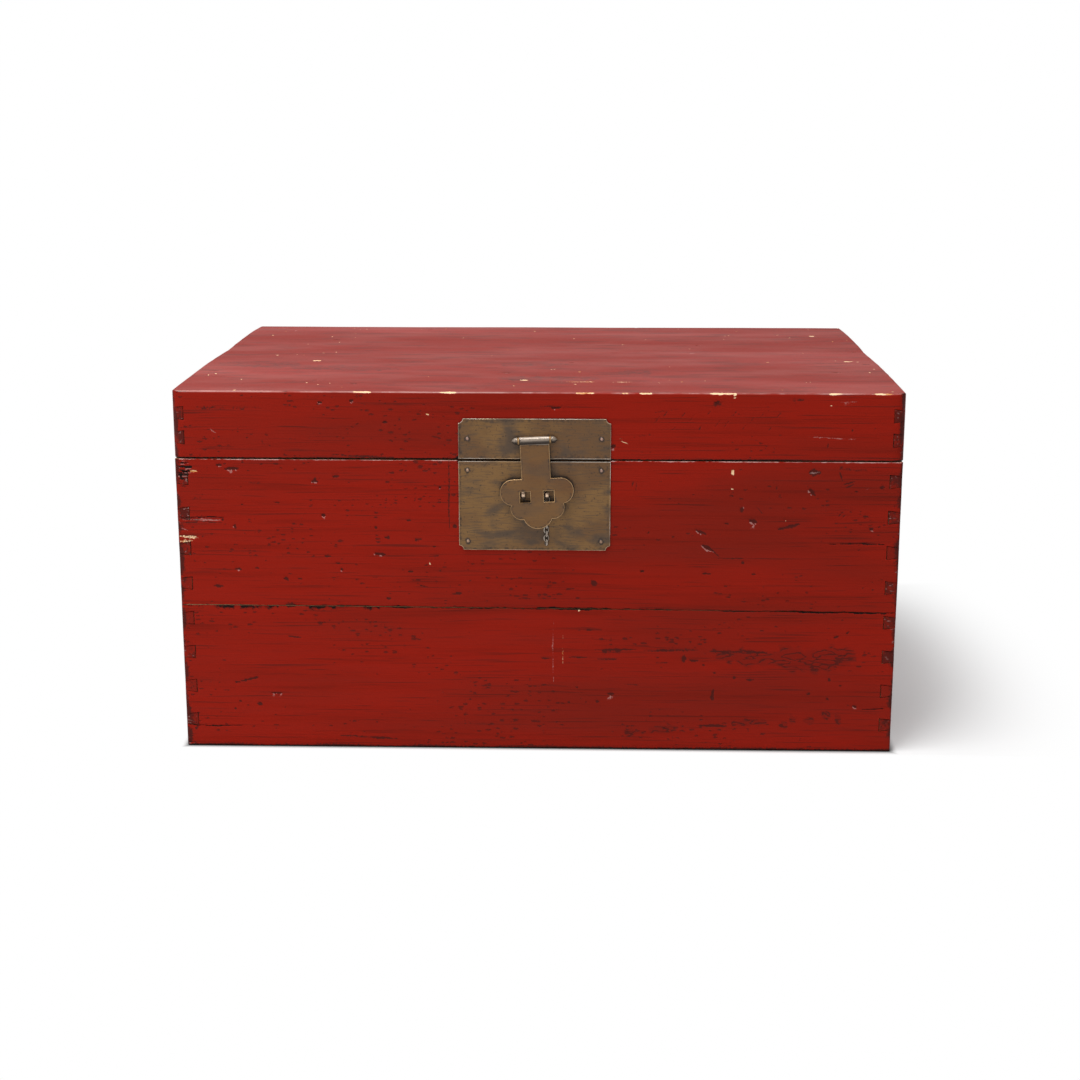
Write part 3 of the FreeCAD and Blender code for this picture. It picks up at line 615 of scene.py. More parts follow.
@once
def old_metal(name):
    """Metal with patches of an older and of a warmer tone, fine brush lines, dirt with painted shade, and, for
    some, painted light and shade by the way they face.
    """
    brass = settings("brass")
    metal = METALS[name]
    material, nodes, shader = new_material(name, Metallic=metal.metallic)
    vector = object_vector(nodes, False)
    patina = nodes.group(metal_patina(), {"Vector": vector})
    layers = (
        ("Warm", 0.42, 0.62, 0.75, metal.warm),
        ("Patch", 0.46, 0.66, 0.75, metal.patch),
        ("Brush", 0.50, 0.66, 0.45, metal.patch),
        ("Specks", 0.60, 0.74, 0.55, "tarnish_and_shade"),
    )
    shade = opaque(getattr(brass, metal.base))
    for output, low, high, share, tone in layers:
        mask = nodes.ramp(patina[output], low, high)
        shade = nodes.lay(shade, mask, share * metal.contrast, getattr(brass, tone))
    # Dirt along the plate edges, and painted shade round what stands on a plate and inside the chain links
    ragged = {"Mask": nodes.attribute("dirt"), "Vector": vector, "Fineness": 260.0}
    shade = nodes.lay(shade, nodes.group(ragged_mask(), ragged)["Mask"], 0.8, brass.tarnish_and_shade)
    # Painted highlights and painted shade by the way the surface faces
    for low, high, share, tone in metal.tones:
        mask = nodes.ramp(metal.facing(nodes), low, high)
        shade = nodes.lay(shade, mask, share, getattr(brass, tone))
    nodes.feed(shader["Base Color"], shade)
    gloss = nodes.ramp(patina["Patch"], -0.4 - 2 * metal.shine, 1.6 + 2 * metal.shine)
    nodes.feed(shader["Roughness"], gloss)
    relief = nodes.math("ADD", patina["Brush"], nodes.times(patina["Specks"], 0.6))
    nodes.feed(shader["Normal"], bump(nodes, relief, 0.08 * MM))
    return material


# Marks that the years have left, listed one by one for the front and the top

Kind = namedtuple("Kind", "mask share depth wobble broken edge")
Mark = namedtuple("Mark", "kind across up length width tilt", defaults=(0,))
Side = namedtuple("Side", "across up out sign")

SIDES = {
    "front": Side(0, 2, 1, -1),
    "back": Side(0, 2, 1, 1),
    "left": Side(1, 2, 0, -1),
    "right": Side(1, 2, 0, 1),
    "top": Side(0, 1, 2, 1),
}

# Where the lacquered faces of the lid stand, the top of its frame and the lengths of the boards
FACE_OF = {
    side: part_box("lid_%s_board" % name)[side.sign > 0][side.out]
    for name, side in SIDES.items()
    if name != "top"
}
FRAME_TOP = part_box("lid_front_board")[1].z
FRONT_LENGTH = 2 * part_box("front_lower_board")[1].x
SIDE_LENGTH = 2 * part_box("left_lower_board")[1].y

# The mask that a mark is painted in and how strongly, its depth and wobble in millimetres,
# the share of it that is missing, and how strong the painted highlight along its lower edge is
KINDS = {
    "dent": Kind("scar", 0.95, 0.5, 0.4, 0.0, 0.0),
    "nick": Kind("scar", 1.0, 0.7, 0.3, 0.0, 0.8),
    "streak": Kind("scar", 0.5, 0.12, 1.2, 0.6, 0.0),
    "line": Kind("scar", 0.9, 0.2, 0.6, 0.25, 0.0),
    "crack": Kind("black", 1.0, 0.8, 1.2, 0.2, 0.0),
    "seam": Kind("black", 0.9, 0.7, 0.9, 0.35, 0.0),
    "root": Kind("root", 1.0, 0.1, 1.0, 0.0, 0.0),
    "tick": Kind("scar", 0.6, 0.2, 0.2, 0.0, 0.0),
    "burr": Kind("black", 0.9, 0.6, 0.8, 0.5, 0.9),
    "worn": Kind("edge", 0.7, 0.3, 0.3, 0.3, 0.0),
    "hairline": Kind("edge", 0.6, 0.1, 0.8, 0.7, 0.0),
    "chip": Kind("chip", 1.0, 0.4, 0.5, 0.2, 0.0),
    "splinter": Kind("chip", 0.62, 0.5, 0.8, 0.2, 0.0),
    "speck": Kind("chip", 0.8, 0.2, 0.1, 0.0, 0.0),
    "scratch": Kind("chip", 0.55, 0.1, 0.7, 0.8, 0.0),
}
MASKS = ("scar", "black", "chip", "rub_and_highlight", "root", "edge")

# Middle of each mark across and up the front, from the middle of its lower edge, then the mark's
# length and width, all in millimetres, and its tilt in degrees
FRONT_PLACES = {
    "chip": (
        (-191, 410, 20, 4.5), (-97, 410, 18, 4.5), (52, 410, 21, 4.5), (95, 410, 8, 4.5),
        (118, 410, 14, 4.5), (200, 410, 27, 4.5), (324, 410, 15, 4.5), (375, 410, 20, 4.5),
        (-379, 320, 9, 2.2),
    ),
    "streak": (
        (-342, 391, 95, 4), (29, 394, 54, 4), (130, 363, 52, 3, 7), (138, 389, 34, 2.2, 9),
        (283, 402, 22, 4.4), (297, 402, 12, 3.3), (-307, 307, 26, 2.2), (-377, 289, 14, 3.3),
        (-271, 261, 12, 2.2), (347, 326, 40, 4.4),
    ),
    "nick": (
        (-203, 399, 5, 3), (197, 400, 3, 3.3), (-351, 327, 7, 2.4), (-337, 323, 18, 4),
        (-246, 309, 8, 2.8), (-336, 258, 4, 3.3), (-334, 209, 7, 3.3), (-295, 64, 12, 2),
        (-175, 227, 13, 3.5, -3), (-222, 216, 5, 3.5), (-218, 209, 4, 2.8), (-107, 303, 3, 2.6),
        (225, 280, 7, 3.3, 80), (238, 267, 9, 4.4, -10), (209, 264, 4, 3.3), (181, 254, 12, 3.7, -20),
        (189, 236, 16, 5.5, -30), (302, 300, 11, 3.7, -50), (368, 259, 6, 5.5), (358, 53, 5, 3.3, -40),
    ),
    "splinter": (
        (-388, 245, 24, 4, -4), (-391, 241, 15, 3, 5),
    ),
    "crack": (
        (356, 242, 66, 1.6), (-368, 25, 64, 1.6), (-373, 268, 50, 1.4), (378, 51, 26, 1.5),
    ),
    "scratch": (
        (29, 119, 38, 1.3, 90), (30, 207, 14, 1.2, 80), (19, 228, 10, 1.2, 70), (18, 76, 14, 1.1, 90),
        (98, 354, 15, 1.1, -19), (115, 352, 21, 1.1),
    ),
    "hairline": (
        (18, 125, 90, 1.0, 90), (-358, 366, 7, 1.1, -45), (-355, 364, 6, 1.1, -35),
        (338, 400, 19, 1.1, 4), (336, 360, 99, 1.3, -2), (360, 303, 8, 1.3, 25),
    ),
    "tick": (
        (-302, 354, 4, 1.7, 80), (-294, 349, 3, 2.2), (317, 352, 6, 1.8, 80), (343, 369, 3, 1.7, 80),
        (105, 308, 8, 1.5, 80), (109, 305, 9, 1.5, 85), (333, 328, 4, 2.6), (263, 305, 5, 2.2, 70),
        (333, 275, 6, 1.4, 50), (337, 273, 6, 1.4, 50),
    ),
    "speck": (
        (319, 396, 3, 1.3), (274, 268, 2, 1.5),
    ),
    "burr": (
        (-389, 329, 11, 2.2), (-388, 325, 16, 3.3), (-387, 320, 15, 3.3, -5), (-390, 316, 13, 3.3),
        (-391, 311, 10, 2.8), (-395, 5, 10, 3.3), (-397, 11, 8, 2.2),
    ),
    "worn": (
        (-389, 331, 7, 1.3), (-374, 265, 46, 2.4), (-392, 254, 8, 1.7, -20), (304, 322, 12, 2.2, 8),
    ),
    "dent": (
        (-288, 285, 6, 2.2), (-327, 283, 3, 2.2), (-349, 265, 3, 4.4), (-313, 210, 4, 3.3),
        (-357, 189, 12, 3.3, -6), (-280, 198, 6, 3.3), (-265, 198, 4, 3.3), (-330, 79, 30, 2.9, 13),
        (-315, 51, 6, 3.3), (-337, 54, 3, 2.4), (-343, 45, 3, 2.6), (-389, 21, 3, 5.5),
        (-91, 259, 6, 5.5), (-132, 244, 9, 5, 5), (-126, 190, 10, 2.2, -12), (-89, 182, 11, 2.9, 8),
        (-222, 315, 8, 2.2), (-233, 224, 8, 2.2), (-166, 246, 6, 2.8), (-179, 257, 4, 2.8),
        (-142, 266, 4, 2.9), (-114, 236, 4, 2.2), (-141, 207, 6, 2.4), (164, 108, 7, 6.6, 60),
        (176, 106, 11, 3.7), (187, 101, 3, 2.4), (199, 92, 4, 2.9), (222, 87, 4, 3.3),
        (240, 84, 8, 3.7), (198, 66, 13, 4.4, 85), (68, 57, 5, 4), (36, 56, 4, 3.3), (45, 73, 4, 3.3),
        (63, 196, 7, 7.2, 60), (116, 209, 3, 3.3), (188, 207, 10, 2.6), (228, 220, 3, 3.7),
        (123, 253, 4, 2.6, 70), (240, 207, 5, 2.6), (117, 209, 4, 2.6), (213, 180, 5, 2.4),
        (304, 322, 13, 7.7), (350, 301, 4, 2.4), (378, 306, 5, 3.3), (362, 273, 6, 2.9),
        (277, 261, 24, 5.1, 14), (334, 135, 6, 2.6, 20), (347, 140, 4, 2.6, 40), (328, 85, 4, 3.3),
        (341, 78, 3, 2.6), (305, 68, 4, 3.3), (327, 62, 4, 3.3),
    ),
    "line": (
        (-373, 262, 46, 1.3), (-273, 130, 16, 1.4, -5), (-353, 67, 7, 1.3), (-355, 102, 7, 1.3),
        (-97, 295, 77, 1.8, 90), (-114, 225, 12, 1.7), (-108, 208, 7, 1.5), (-180, 200, 7, 1.3),
        (88, 118, 46, 2.6), (150, 118, 64, 2.9, 2), (223, 117, 77, 3.3, -1), (57, 141, 31, 1.4),
        (10, 108, 12, 2.2), (46, 109, 21, 2.2), (79, 107, 23, 2.6), (140, 103, 15, 2.2),
        (106, 77, 19, 1.4, -4), (198, 29, 35, 2.6), (197, 231, 16, 1.8, -42), (215, 224, 30, 1.5),
        (245, 279, 11, 1.5, -50), (333, 318, 12, 1.7, -70), (342, 311, 14, 1.7, 15),
        (342, 307, 12, 1.7, 20),
    ),
    "root": (
        (110, 20, 25, 7.7), (143, 25, 37, 7.7, 5), (242, 33, 46, 6.6, 3), (279, 31, 9, 8.8),
        (289, 37, 8, 9.9), (307, 36, 11, 8.8), (326, 43, 10, 8.8), (340, 38, 8, 8.8),
        (233, 111, 66, 15.4, -2), (301, 108, 84, 26.4, -5), (337, 114, 37, 17.6, -8),
    ),
}
FRONT_MARKS = tuple(Mark(kind, *place) for kind, places in FRONT_PLACES.items() for place in places)

# Fine slanting ticks on the lid, over the lock's right
FRONT_TICKS = tuple(
    Mark("tick", 130 + 9.5 * i, 379 + 9 * math.sin(2.3 * i), 8 + 3 * math.cos(1.7 * i), 1.4, 52)
    for i in range(15)
)

# The crack between the front boards falls a little to the right, and gapes in places
FRONT_SEAM = (
    Mark("seam", 0, 165.5, 800, 1.6, -0.29),
    Mark("crack", -154, 166.3, 34, 3),
    Mark("crack", 41, 165.3, 82, 3, -0.5),
    Mark("crack", 330, 163.4, 130, 2.4, -0.6),
    Mark("dent", -276, 167, 12, 5),
)

# Box of the black painted shade in the gap between the lock plates
LOCK_GAP = (
    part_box("lock_plate_lower")[0] + Vector((0, 0, LOWER_PLATE_CLEAR)),
    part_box("lock_plate_upper")[1] - Vector((0, 0, UPPER_PLATE_CLEAR)),
)

# The same, across and back over the top, from its middle
TOP_MARKS = (
    Mark("root", -335, -95, 100, 60, -8),
    Mark("root", -230, -125, 130, 34, -5),
    Mark("root", -5, -90, 90, 30),
    Mark("root", 10, -195, 120, 30),
    Mark("root", 110, -150, 40, 40),
    Mark("chip", -272, -62, 10, 6),
    Mark("chip", -364, 175, 3, 9),
    Mark("chip", 367, -50, 14, 8, 20),
    Mark("chip", 351, 184, 6, 8),
    Mark("chip", -18, -206, 11, 6),
    Mark("scratch", 60, -218, 120, 4),
    Mark("scratch", 20, 45, 30, 5),
    Mark("scratch", 120, 40, 14, 5),
)


def scattered_marks(side, box, count, kinds):
    """Marks over a whole side, along the grain, the same at each run."""
    draw = random.Random(side + kinds[0])
    spot = SIDES[side]
    low, high = box
    marks = []
    for _ in range(count):
        kind = draw.choice(kinds)
        long, wide = draw.uniform(20, 80), draw.uniform(1.6, 3.0)
        if kind in ("dent", "nick", "chip"):
            long, wide = draw.uniform(5, 11), draw.uniform(2.2, 4.2)
        if kind == "speck":
            long, wide = draw.uniform(1.5, 3.0), draw.uniform(1.5, 5.0)
        across = draw.uniform(low[spot.across], high[spot.across]) / MM
        up = draw.uniform(low[spot.up], high[spot.up]) / MM
        marks.append(Mark(kind, across, up, long, wide, draw.gauss(0, 5)))
    return marks


def spans(mark, side, places):
    """Distances along and across a mark, in millimetres, of places in metres.

    The height on the front goes on over the rounded edge and back along the top.
    """
    across = places[:, side.across] / MM - mark.across
    up = places[:, side.up] / MM - mark.up
    if side.up == 2:
        over_edge = (FACE_OF[side] - places[:, side.out]) * side.sign
        up = up + np.maximum(0, over_edge) / MM
    tilt = math.radians(mark.tilt)
    along = across * math.cos(tilt) + up * math.sin(tilt)
    return along, up * math.cos(tilt) - across * math.sin(tilt)


def faces_side(normals, side):
    """Which normals look to a side, or up over its edge."""
    towards = normals[:, side.out] * side.sign
    if side.up == 2:
        over_edge = (normals[:, 2] > TOWARDS_MARK) & (towards > -0.2)
        return (towards > TOWARDS_MARK) | over_edge
    return towards > TOWARDS_MARK


# Boards


class Form:
    """The outer box of the carcass or the lid, which tells lacquered faces from bare ones, and its wear."""

    skin = 3.2 * MM

    def __init__(self, nodes, sides, rim, rubbed, foot_mask, foot_dark_reach, corner, foot):
        boxes = [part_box(node) for node in nodes]
        self.low = Vector(map(min, *(low for low, _ in boxes)))
        self.high = Vector(map(max, *(high for _, high in boxes)))
        self.sides = {name: SIDES[name] for name in sides}
        self.rim = rim
        self.rubbed = rubbed
        self.foot_mask = foot_mask
        self.foot_dark_reach = foot_dark_reach
        self.corner = corner
        self.foot = foot

    def is_outside(self, face):
        centre = face.calc_center_median()
        for side in self.sides.values():
            limit = self.high if side.sign > 0 else self.low
            near = abs(centre[side.out] - limit[side.out]) < self.skin
            if near and face.normal[side.out] * side.sign > 0.05:
                return True
        return False


def clean_copy(node, flat_angle):
    """A CAD node's mesh with the triangles of each flat face joined."""
    bm = bmesh.new()
    bm.from_mesh(cad_mesh(node))
    bmesh.ops.remove_doubles(bm, verts=bm.verts[:], dist=1e-6)
    bmesh.ops.dissolve_limit(
        bm, angle_limit=math.radians(flat_angle), verts=bm.verts[:], edges=bm.edges[:]
    )
    return bm


def is_sharp(edge, cosine):
    faces = edge.link_faces
    return len(faces) == 2 and faces[0].normal.dot(faces[1].normal) < cosine


def soften(bm, edges, width, segments):
    """Cuts a narrow worn edge along these edges, and returns its faces."""
    made = bmesh.ops.bevel(
        bm,
        geom=edges,
        offset=width,
        offset_type="OFFSET",
        segments=segments,
        profile=0.6,
        affect="EDGES",
        clamp_overlap=False,
        loop_slide=True,
        material=-1,
    )
    return made["faces"]


def each_once(elements):
    """These elements without repeats, in the same order at each run."""
    return list(dict.fromkeys(elements))


def cut(bm, faces, planes):
    """Divides these faces by planes, each given by its axis and its place on it."""
    edges = [edge for face in faces for edge in face.edges]
    verts = [vert for face in faces for vert in face.verts]
    geometry = each_once([*faces, *edges, *verts])
    for axis, place in planes:
        normal = Vector((0, 0, 0))
        normal[axis] = 1
        geometry = bmesh.ops.bisect_plane(
            bm, geom=geometry, dist=1e-6, plane_co=normal * place, plane_no=normal
        )["geom"]


def slice_faces(bm, faces, step):
    """Divides these faces by planes a step apart, along all three axes."""
    corners = np.array([v.co for f in faces for v in f.verts])
    low, high = corners.min(0), corners.max(0)
    planes = []
    for axis in range(3):
        count = int((high[axis] - low[axis]) / step)
        planes += [(axis, float(low[axis] + (i + 0.5) * step)) for i in range(count)]
    cut(bm, faces, planes)


def edge_planes(form):
    """Planes close to the corners, the rim and the foot, where the wear is finest."""
    planes = []
    for away in (0.7 * MM, 1.6 * MM, 2.8 * MM, 4.4 * MM, 6.4 * MM, 8.8 * MM):
        for axis in (0, 1):
            planes += [(axis, form.low[axis] + away), (axis, form.high[axis] - away)]
        planes += [(2, form.low.z + away), (2, form.rim - away)]
    return planes


def refine(bm, marks, finest):
    """Halves the faces under the marks until they are small enough to carry them."""
    for _ in range(HALVINGS):
        faces = [f for f in bm.faces if f.material_index in (FACE, END, EDGE)]
        centres = np.array([f.calc_center_median() for f in faces])
        normals = np.array([f.normal for f in faces])
        target = np.full(len(faces), np.inf)
        for side, mark in marks:
            along, across = spans(mark, side, centres)
            room = mark.width / 2 + KINDS[mark.kind].wobble + 2.0
            under = (abs(along) < mark.length / 2 + room) & (abs(across) < room)
            under &= faces_side(normals, side)
            target[under] = np.minimum(target[under], max(mark.width * MM / FACES_ACROSS, finest))
        long_edges = each_once(
            edge
            for face, size in zip(faces, target)
            for edge in face.edges
            if edge.calc_length() > LONGEST_EDGE * size
        )
        if not long_edges:
            return
        bmesh.ops.subdivide_edges(bm, edges=long_edges, cuts=1, use_grid_fill=True)


def wave(*place):
    return noise.noise(Vector(place))


class Skin:
    """The lacquered points of a board, which are warped, dented, scarred and chipped."""

    def __init__(self, mesh):
        self.mesh = mesh
        count = len(mesh.vertices)
        places = np.empty(count * 3)
        mesh.vertices.foreach_get("co", places)
        self.places = places.reshape(-1, 3)
        self.at_rest = self.places.copy()
        self.normals = np.zeros((count, 3))
        self.outer = np.zeros(count, bool)
        for face in mesh.polygons:
            if face.material_index == INSIDE:
                continue
            corners = list(face.vertices)
            self.outer[corners] = True
            weight = 0.01 if face.material_index == GROOVE else 1.0
            self.normals[corners] += weight * np.array(face.normal)
        self.normals /= np.maximum(np.linalg.norm(self.normals, axis=1), 1e-9)[:, None]
        self.masks = {name: np.zeros(count) for name in MASKS}

    def round_off(self, form):
        """Rubs the upright corners and the lower edge round."""
        low, high = np.array(form.low), np.array(form.high)
        inwards = np.where(self.places < (low + high) / 2, 1.0, -1.0)
        depth = np.minimum(self.places - low, high - self.places)
        depth[:, 2] = self.places[:, 2] - low[2]
        inwards[:, 2] = 1.0
        for a, b, radius in ((0, 1, form.corner), (0, 2, form.foot), (1, 2, form.foot)):
            out = np.maximum(0, radius - depth[:, (a, b)])
            reach = np.linalg.norm(out, axis=1)
            beyond = np.flatnonzero(reach > radius)
            shift = out[beyond] * (1 - radius / reach[beyond])[:, None]
            self.places[beyond[:, None], (a, b)] += inwards[beyond[:, None], (a, b)] * shift
            depth[beyond[:, None], (a, b)] += shift

    def warp(self, deepest):
        """Uneven boards: long hollows along the grain, all of them inwards."""
        for i in np.flatnonzero(self.outer):
            x, y, z = self.at_rest[i]
            hollow = wave(x * 4, y * 11, z * 11) + 0.35 * wave(x * 17, y * 43, z * 43)
            self.places[i] -= self.normals[i] * deepest * min(1.0, max(0.0, 0.5 + 0.6 * hollow))

    def paint(self, mask, i, share):
        """Adds to a mask at one point, where it is weaker than this share."""
        self.masks[mask][i] = max(self.masks[mask][i], share)

    def wear_edges(self, form):
        """Pale rims, partly rubbed and partly painted highlight; scarred corners; a dark lower edge, which along
        the lid is painted shade of the gap beneath it; and black painted shade in the gap behind the lock plates.
        """
        x, y, z = self.at_rest.T
        from_side = np.minimum(x - form.low.x, form.high.x - x)
        from_front = np.minimum(y - form.low.y, form.high.y - y)
        rim = np.hypot(np.minimum(from_side, from_front), form.rim - z) / MM
        corner = np.hypot(from_side, from_front) / MM
        foot = (z - form.low.z) / form.foot_dark_reach
        # Pale rims: partly rubbed lacquer, partly a painted highlight where the rims catch the light
        for i in np.flatnonzero(self.outer & (rim < RIM_REACH)):
            share = 0.75 + 0.5 * wave(x[i] * 38, y[i] * 38, 7.5)
            self.paint("rub_and_highlight", i, form.rubbed * max(0.0, 1.2 - rim[i] / RIM_REACH) * max(0.0, share))
        for i in np.flatnonzero(self.outer & (corner < CORNER_REACH)):
            worn = 0.55 + 1.3 * wave(x[i] * 20, y[i] * 20, z[i] * 60)
            self.paint("scar", i, (1.3 - corner[i] / CORNER_FADE) * worn)
        # Darker towards the lower edge; along the lid's lower edge this black is painted shade of the gap beneath
        # the lid
        for i in np.flatnonzero(self.outer & (foot < 1)):
            share = 0.9 + 0.6 * wave(x[i] * 30, y[i] * 30, 2.5)
            self.paint(form.foot_mask, i, (1.1 - foot[i]) * max(0.0, share))
            self.paint("black", i, 1.2 - 2.5 * foot[i])
        # Black painted shade in the gap between lid and carcass behind the lock plates
        gap_low, gap_high = LOCK_GAP
        behind_lock = (x > gap_low.x) & (x < gap_high.x) & (z > gap_low.z) & (z < gap_high.z) & (y < 0)
        for i in np.flatnonzero(self.outer & behind_lock):
            self.paint("black", i, 1.0)

    def press(self, side, mark):
        """Paints one mark and presses it in, bent and ragged as its kind says."""
        kind = KINDS[mark.kind]
        along, across = spans(mark, side, self.at_rest)
        room = mark.width + kind.wobble
        near = self.outer & (abs(along) < mark.length / 2) & (abs(across) < room)
        near &= faces_side(self.normals, side)
        start = mark.across + 7.0 * mark.up
        for i in np.flatnonzero(near):
            a, b = along[i], across[i]
            bend = kind.wobble * (wave(a * 0.03, start, 0.5) + 0.5 * wave(a * 0.11, start, 3.5))
            thick = 1.0 + 0.7 * wave(a * 0.15, start, 9.5)
            ends = math.sqrt(1.0 - (2 * a / mark.length) ** 2)
            gaps = 1.0 - kind.broken * max(0.0, 0.5 + 1.5 * wave(a * 0.07, start, 4.5))
            half = max(0.2, thick * ends * mark.width / 2)
            ragged = 0.55 * wave(a * 0.4, b * 0.7, start)
            core = 1.2 - abs(b - bend) / half + ragged
            share = max(0.0, min(1.0, 1.5 * core)) * max(0.0, gaps)
            self.paint(kind.mask, i, kind.share * share)
            # Painted highlight: a pale rim along the lower edge of the mark, where it would catch the light
            if b < bend and -0.3 < core < 0.15:
                self.paint("edge", i, kind.edge * max(0.0, gaps))
            self.places[i] -= self.normals[i] * kind.depth * MM * share

    def store(self):
        """Writes the moved points and the masks to the mesh."""
        self.mesh.vertices.foreach_set("co", self.places.ravel())
        for name, values in self.masks.items():
            self.mesh.attributes.new(name, "FLOAT", "POINT").data.foreach_set("value", values)
        self.mesh.update()


def new_piece(bm, node, suffix, materials):
    """Turns a finished bmesh into a piece that stands for its CAD node."""
    mesh = bpy.data.meshes.new(node + suffix)
    bm.to_mesh(mesh)
    bm.free()
    for material in materials:
        mesh.materials.append(material)
    piece = bpy.data.objects.new(node + suffix, mesh)
    bpy.context.scene.collection.objects.link(piece)
    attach(piece, BODY_OF[node])
    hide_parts(node)
    return piece


def smooth(mesh, angle, bare=None):
    """Smooth shading, broken along edges sharper than the angle and round the bare faces."""
    mesh.shade_smooth()
    faces_at = defaultdict(list)
    for face in mesh.polygons:
        for key in face.edge_keys:
            faces_at[key].append(face)
    limit = math.cos(math.radians(angle))
    for edge in mesh.edges:
        pair = faces_at[edge.key]
        apart = len(pair) != 2 or pair[0].normal.dot(pair[1].normal) < limit
        edge.use_edge_sharp = apart or sum(face.material_index == bare for face in pair) == 1


def shows_joint(edge):
    """The lid's top is lacquered over its joints, except where its seam has opened at the right."""
    middle = (edge.verts[0].co + edge.verts[1].co) / 2
    opened = middle.z > FRAME_TOP + PLANK_UPPER_SIDE and middle.x > OPEN_SEAM_FROM
    return middle.z < FRAME_TOP - MM or opened


def lacquered_board(node, form, marks, flat_angle=8.0):
    """A board with worn joints, its outer faces lacquered and marked, and bare wood inside."""
    wear = settings("wear")
    turned = "left" in node or "right" in node
    end_axis = 1 if turned else 0
    bm = clean_copy(node, flat_angle)
    for face in bm.faces:
        face.material_index = INSIDE
        if form.is_outside(face):
            face.material_index = END if abs(face.normal[end_axis]) > 0.7 else FACE
            if node in LID_PLANKS and face.normal.z < 0.8:
                face.material_index = EDGE
    joints = [e for e in bm.edges if is_sharp(e, BOARD_SHARP) and shows_joint(e)]
    joints = [e for e in joints if sum(f.material_index == INSIDE for f in e.link_faces) == 1]
    # The short edges are the rims of nail holes, which the plates hide
    joints = [e for e in joints if e.calc_length() > 2 * MM]
    for face in soften(bm, joints, wear.groove, 1):
        at_rim = abs(face.calc_center_median().z - form.rim) < MM
        face.material_index = FACE if at_rim else GROOVE
    cut(bm, [f for f in bm.faces if f.material_index != INSIDE], edge_planes(form))
    slice_faces(bm, [f for f in bm.faces if f.material_index != INSIDE], wear.board_step)
    refine(bm, marks, wear.mark_step)
    place = "top" if node in LID_PLANKS else "face"
    finishes = [lacquer(turned, place), raw_wood(turned), groove_dirt()]
    finishes += [lacquer(turned, "end"), lacquer(turned, "arris")]
    piece = new_piece(bm, node, "_lacquered", finishes)
    skin = Skin(piece.data)
    skin.round_off(form)
    skin.warp(wear.warp)
    skin.wear_edges(form)
    for side, mark in marks:
        skin.press(side, mark)
    skin.store()
    smooth(piece.data, BOARD_BEND, bare=INSIDE)


def marks_on(form, counts, placed):
    """All the marks of a form, as pairs of a side and a mark."""
    marks = [(SIDES[name], mark) for name, on_side in placed.items() for mark in on_side]
    for name, kinds, count in counts:
        found = scattered_marks(name, (form.low, form.high), count, kinds)
        marks += [(SIDES[name], mark) for mark in found]
    return marks


def marks_near(node, marks):
    """Those marks that reach a node's box."""
    low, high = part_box(node)
    near = []
    for side, mark in marks:
        reach = (mark.length / 2 + mark.width) * MM
        inside = all(
            low[axis] - reach < value * MM < high[axis] + reach
            for axis, value in ((side.across, mark.across), (side.up, mark.up))
        )
        limit = high[side.out] if side.sign > 0 else low[side.out]
        if inside and abs(limit) > 0.8 * abs(cad_box[side.sign > 0][side.out]):
            near.append((side, mark))
    return near


# Metal pieces


def flat_tree(meshes, thin_axis):
    """A search tree of the points of some meshes, seen along one axis."""
    points = [vert.co.copy() for mesh in meshes for vert in mesh.vertices]
    tree = kdtree.KDTree(len(points))
    for i, co in enumerate(points):
        co[thin_axis] = 0
        tree.insert(co, i)
    tree.balance()
    return tree


def tarnish_and_shade(mesh, thin_axis, near, reach):
    """Dirt along the rubbed edges of a plate, and painted shade with dirt round what stands on it."""
    rim = {i for face in mesh.polygons if face.material_index == RUBBED for i in face.vertices}
    edge_tree = kdtree.KDTree(len(rim))
    for i in rim:
        edge_tree.insert(mesh.vertices[i].co, i)
    edge_tree.balance()
    contact_shade_tree = flat_tree(near, thin_axis) if near else None
    dirt = mesh.attributes.new("dirt", "FLOAT", "POINT")
    for vert in mesh.vertices:
        share = 0.0
        if vert.index not in rim:
            away = edge_tree.find(vert.co)[2]
            share = max(math.exp(-away / reach), 0.5 * math.exp(-away / (6 * reach)))
            if contact_shade_tree:
                co = vert.co.copy()
                co[thin_axis] = 0
                share = max(share, 1.1 * math.exp(-contact_shade_tree.find(co)[2] / reach))
        dirt.data[vert.index].value = share


def beaten_plate(node, thin_axis, out, finishes, near=(), reach=0.9 * MM):
    """A plate or leaf with rubbed edges on its outer side, beaten a little uneven."""
    wear = settings("wear")
    bm = clean_copy(node, 1.0)
    for face in bm.faces:
        face.material_index = FACE
    edges = [e for e in bm.edges if is_sharp(e, PLATE_SHARP)]
    edges = [e for e in edges if max(f.normal[thin_axis] * out for f in e.link_faces) > OUT_OF_PLATE]
    for face in soften(bm, edges, wear.plate_edge, 3):
        face.material_index = RUBBED
    broad = [f for f in bm.faces if f.material_index == FACE]
    broad = [f for f in broad if f.normal[thin_axis] * out > OUT_OF_PLATE]
    slice_faces(bm, broad, wear.plate_step)
    bm.normal_update()
    for vert in bm.verts:
        if vert.normal[thin_axis] * out > OUT_OF_PLATE:
            hollow = 0.5 + 0.5 * noise.noise(vert.co * 55)
            vert.co[thin_axis] -= out * wear.plate_warp * hollow
    piece = new_piece(bm, node, "_beaten", finishes)
    tarnish_and_shade(piece.data, thin_axis, near, reach)
    smooth(piece.data, PLATE_BEND)
    return piece


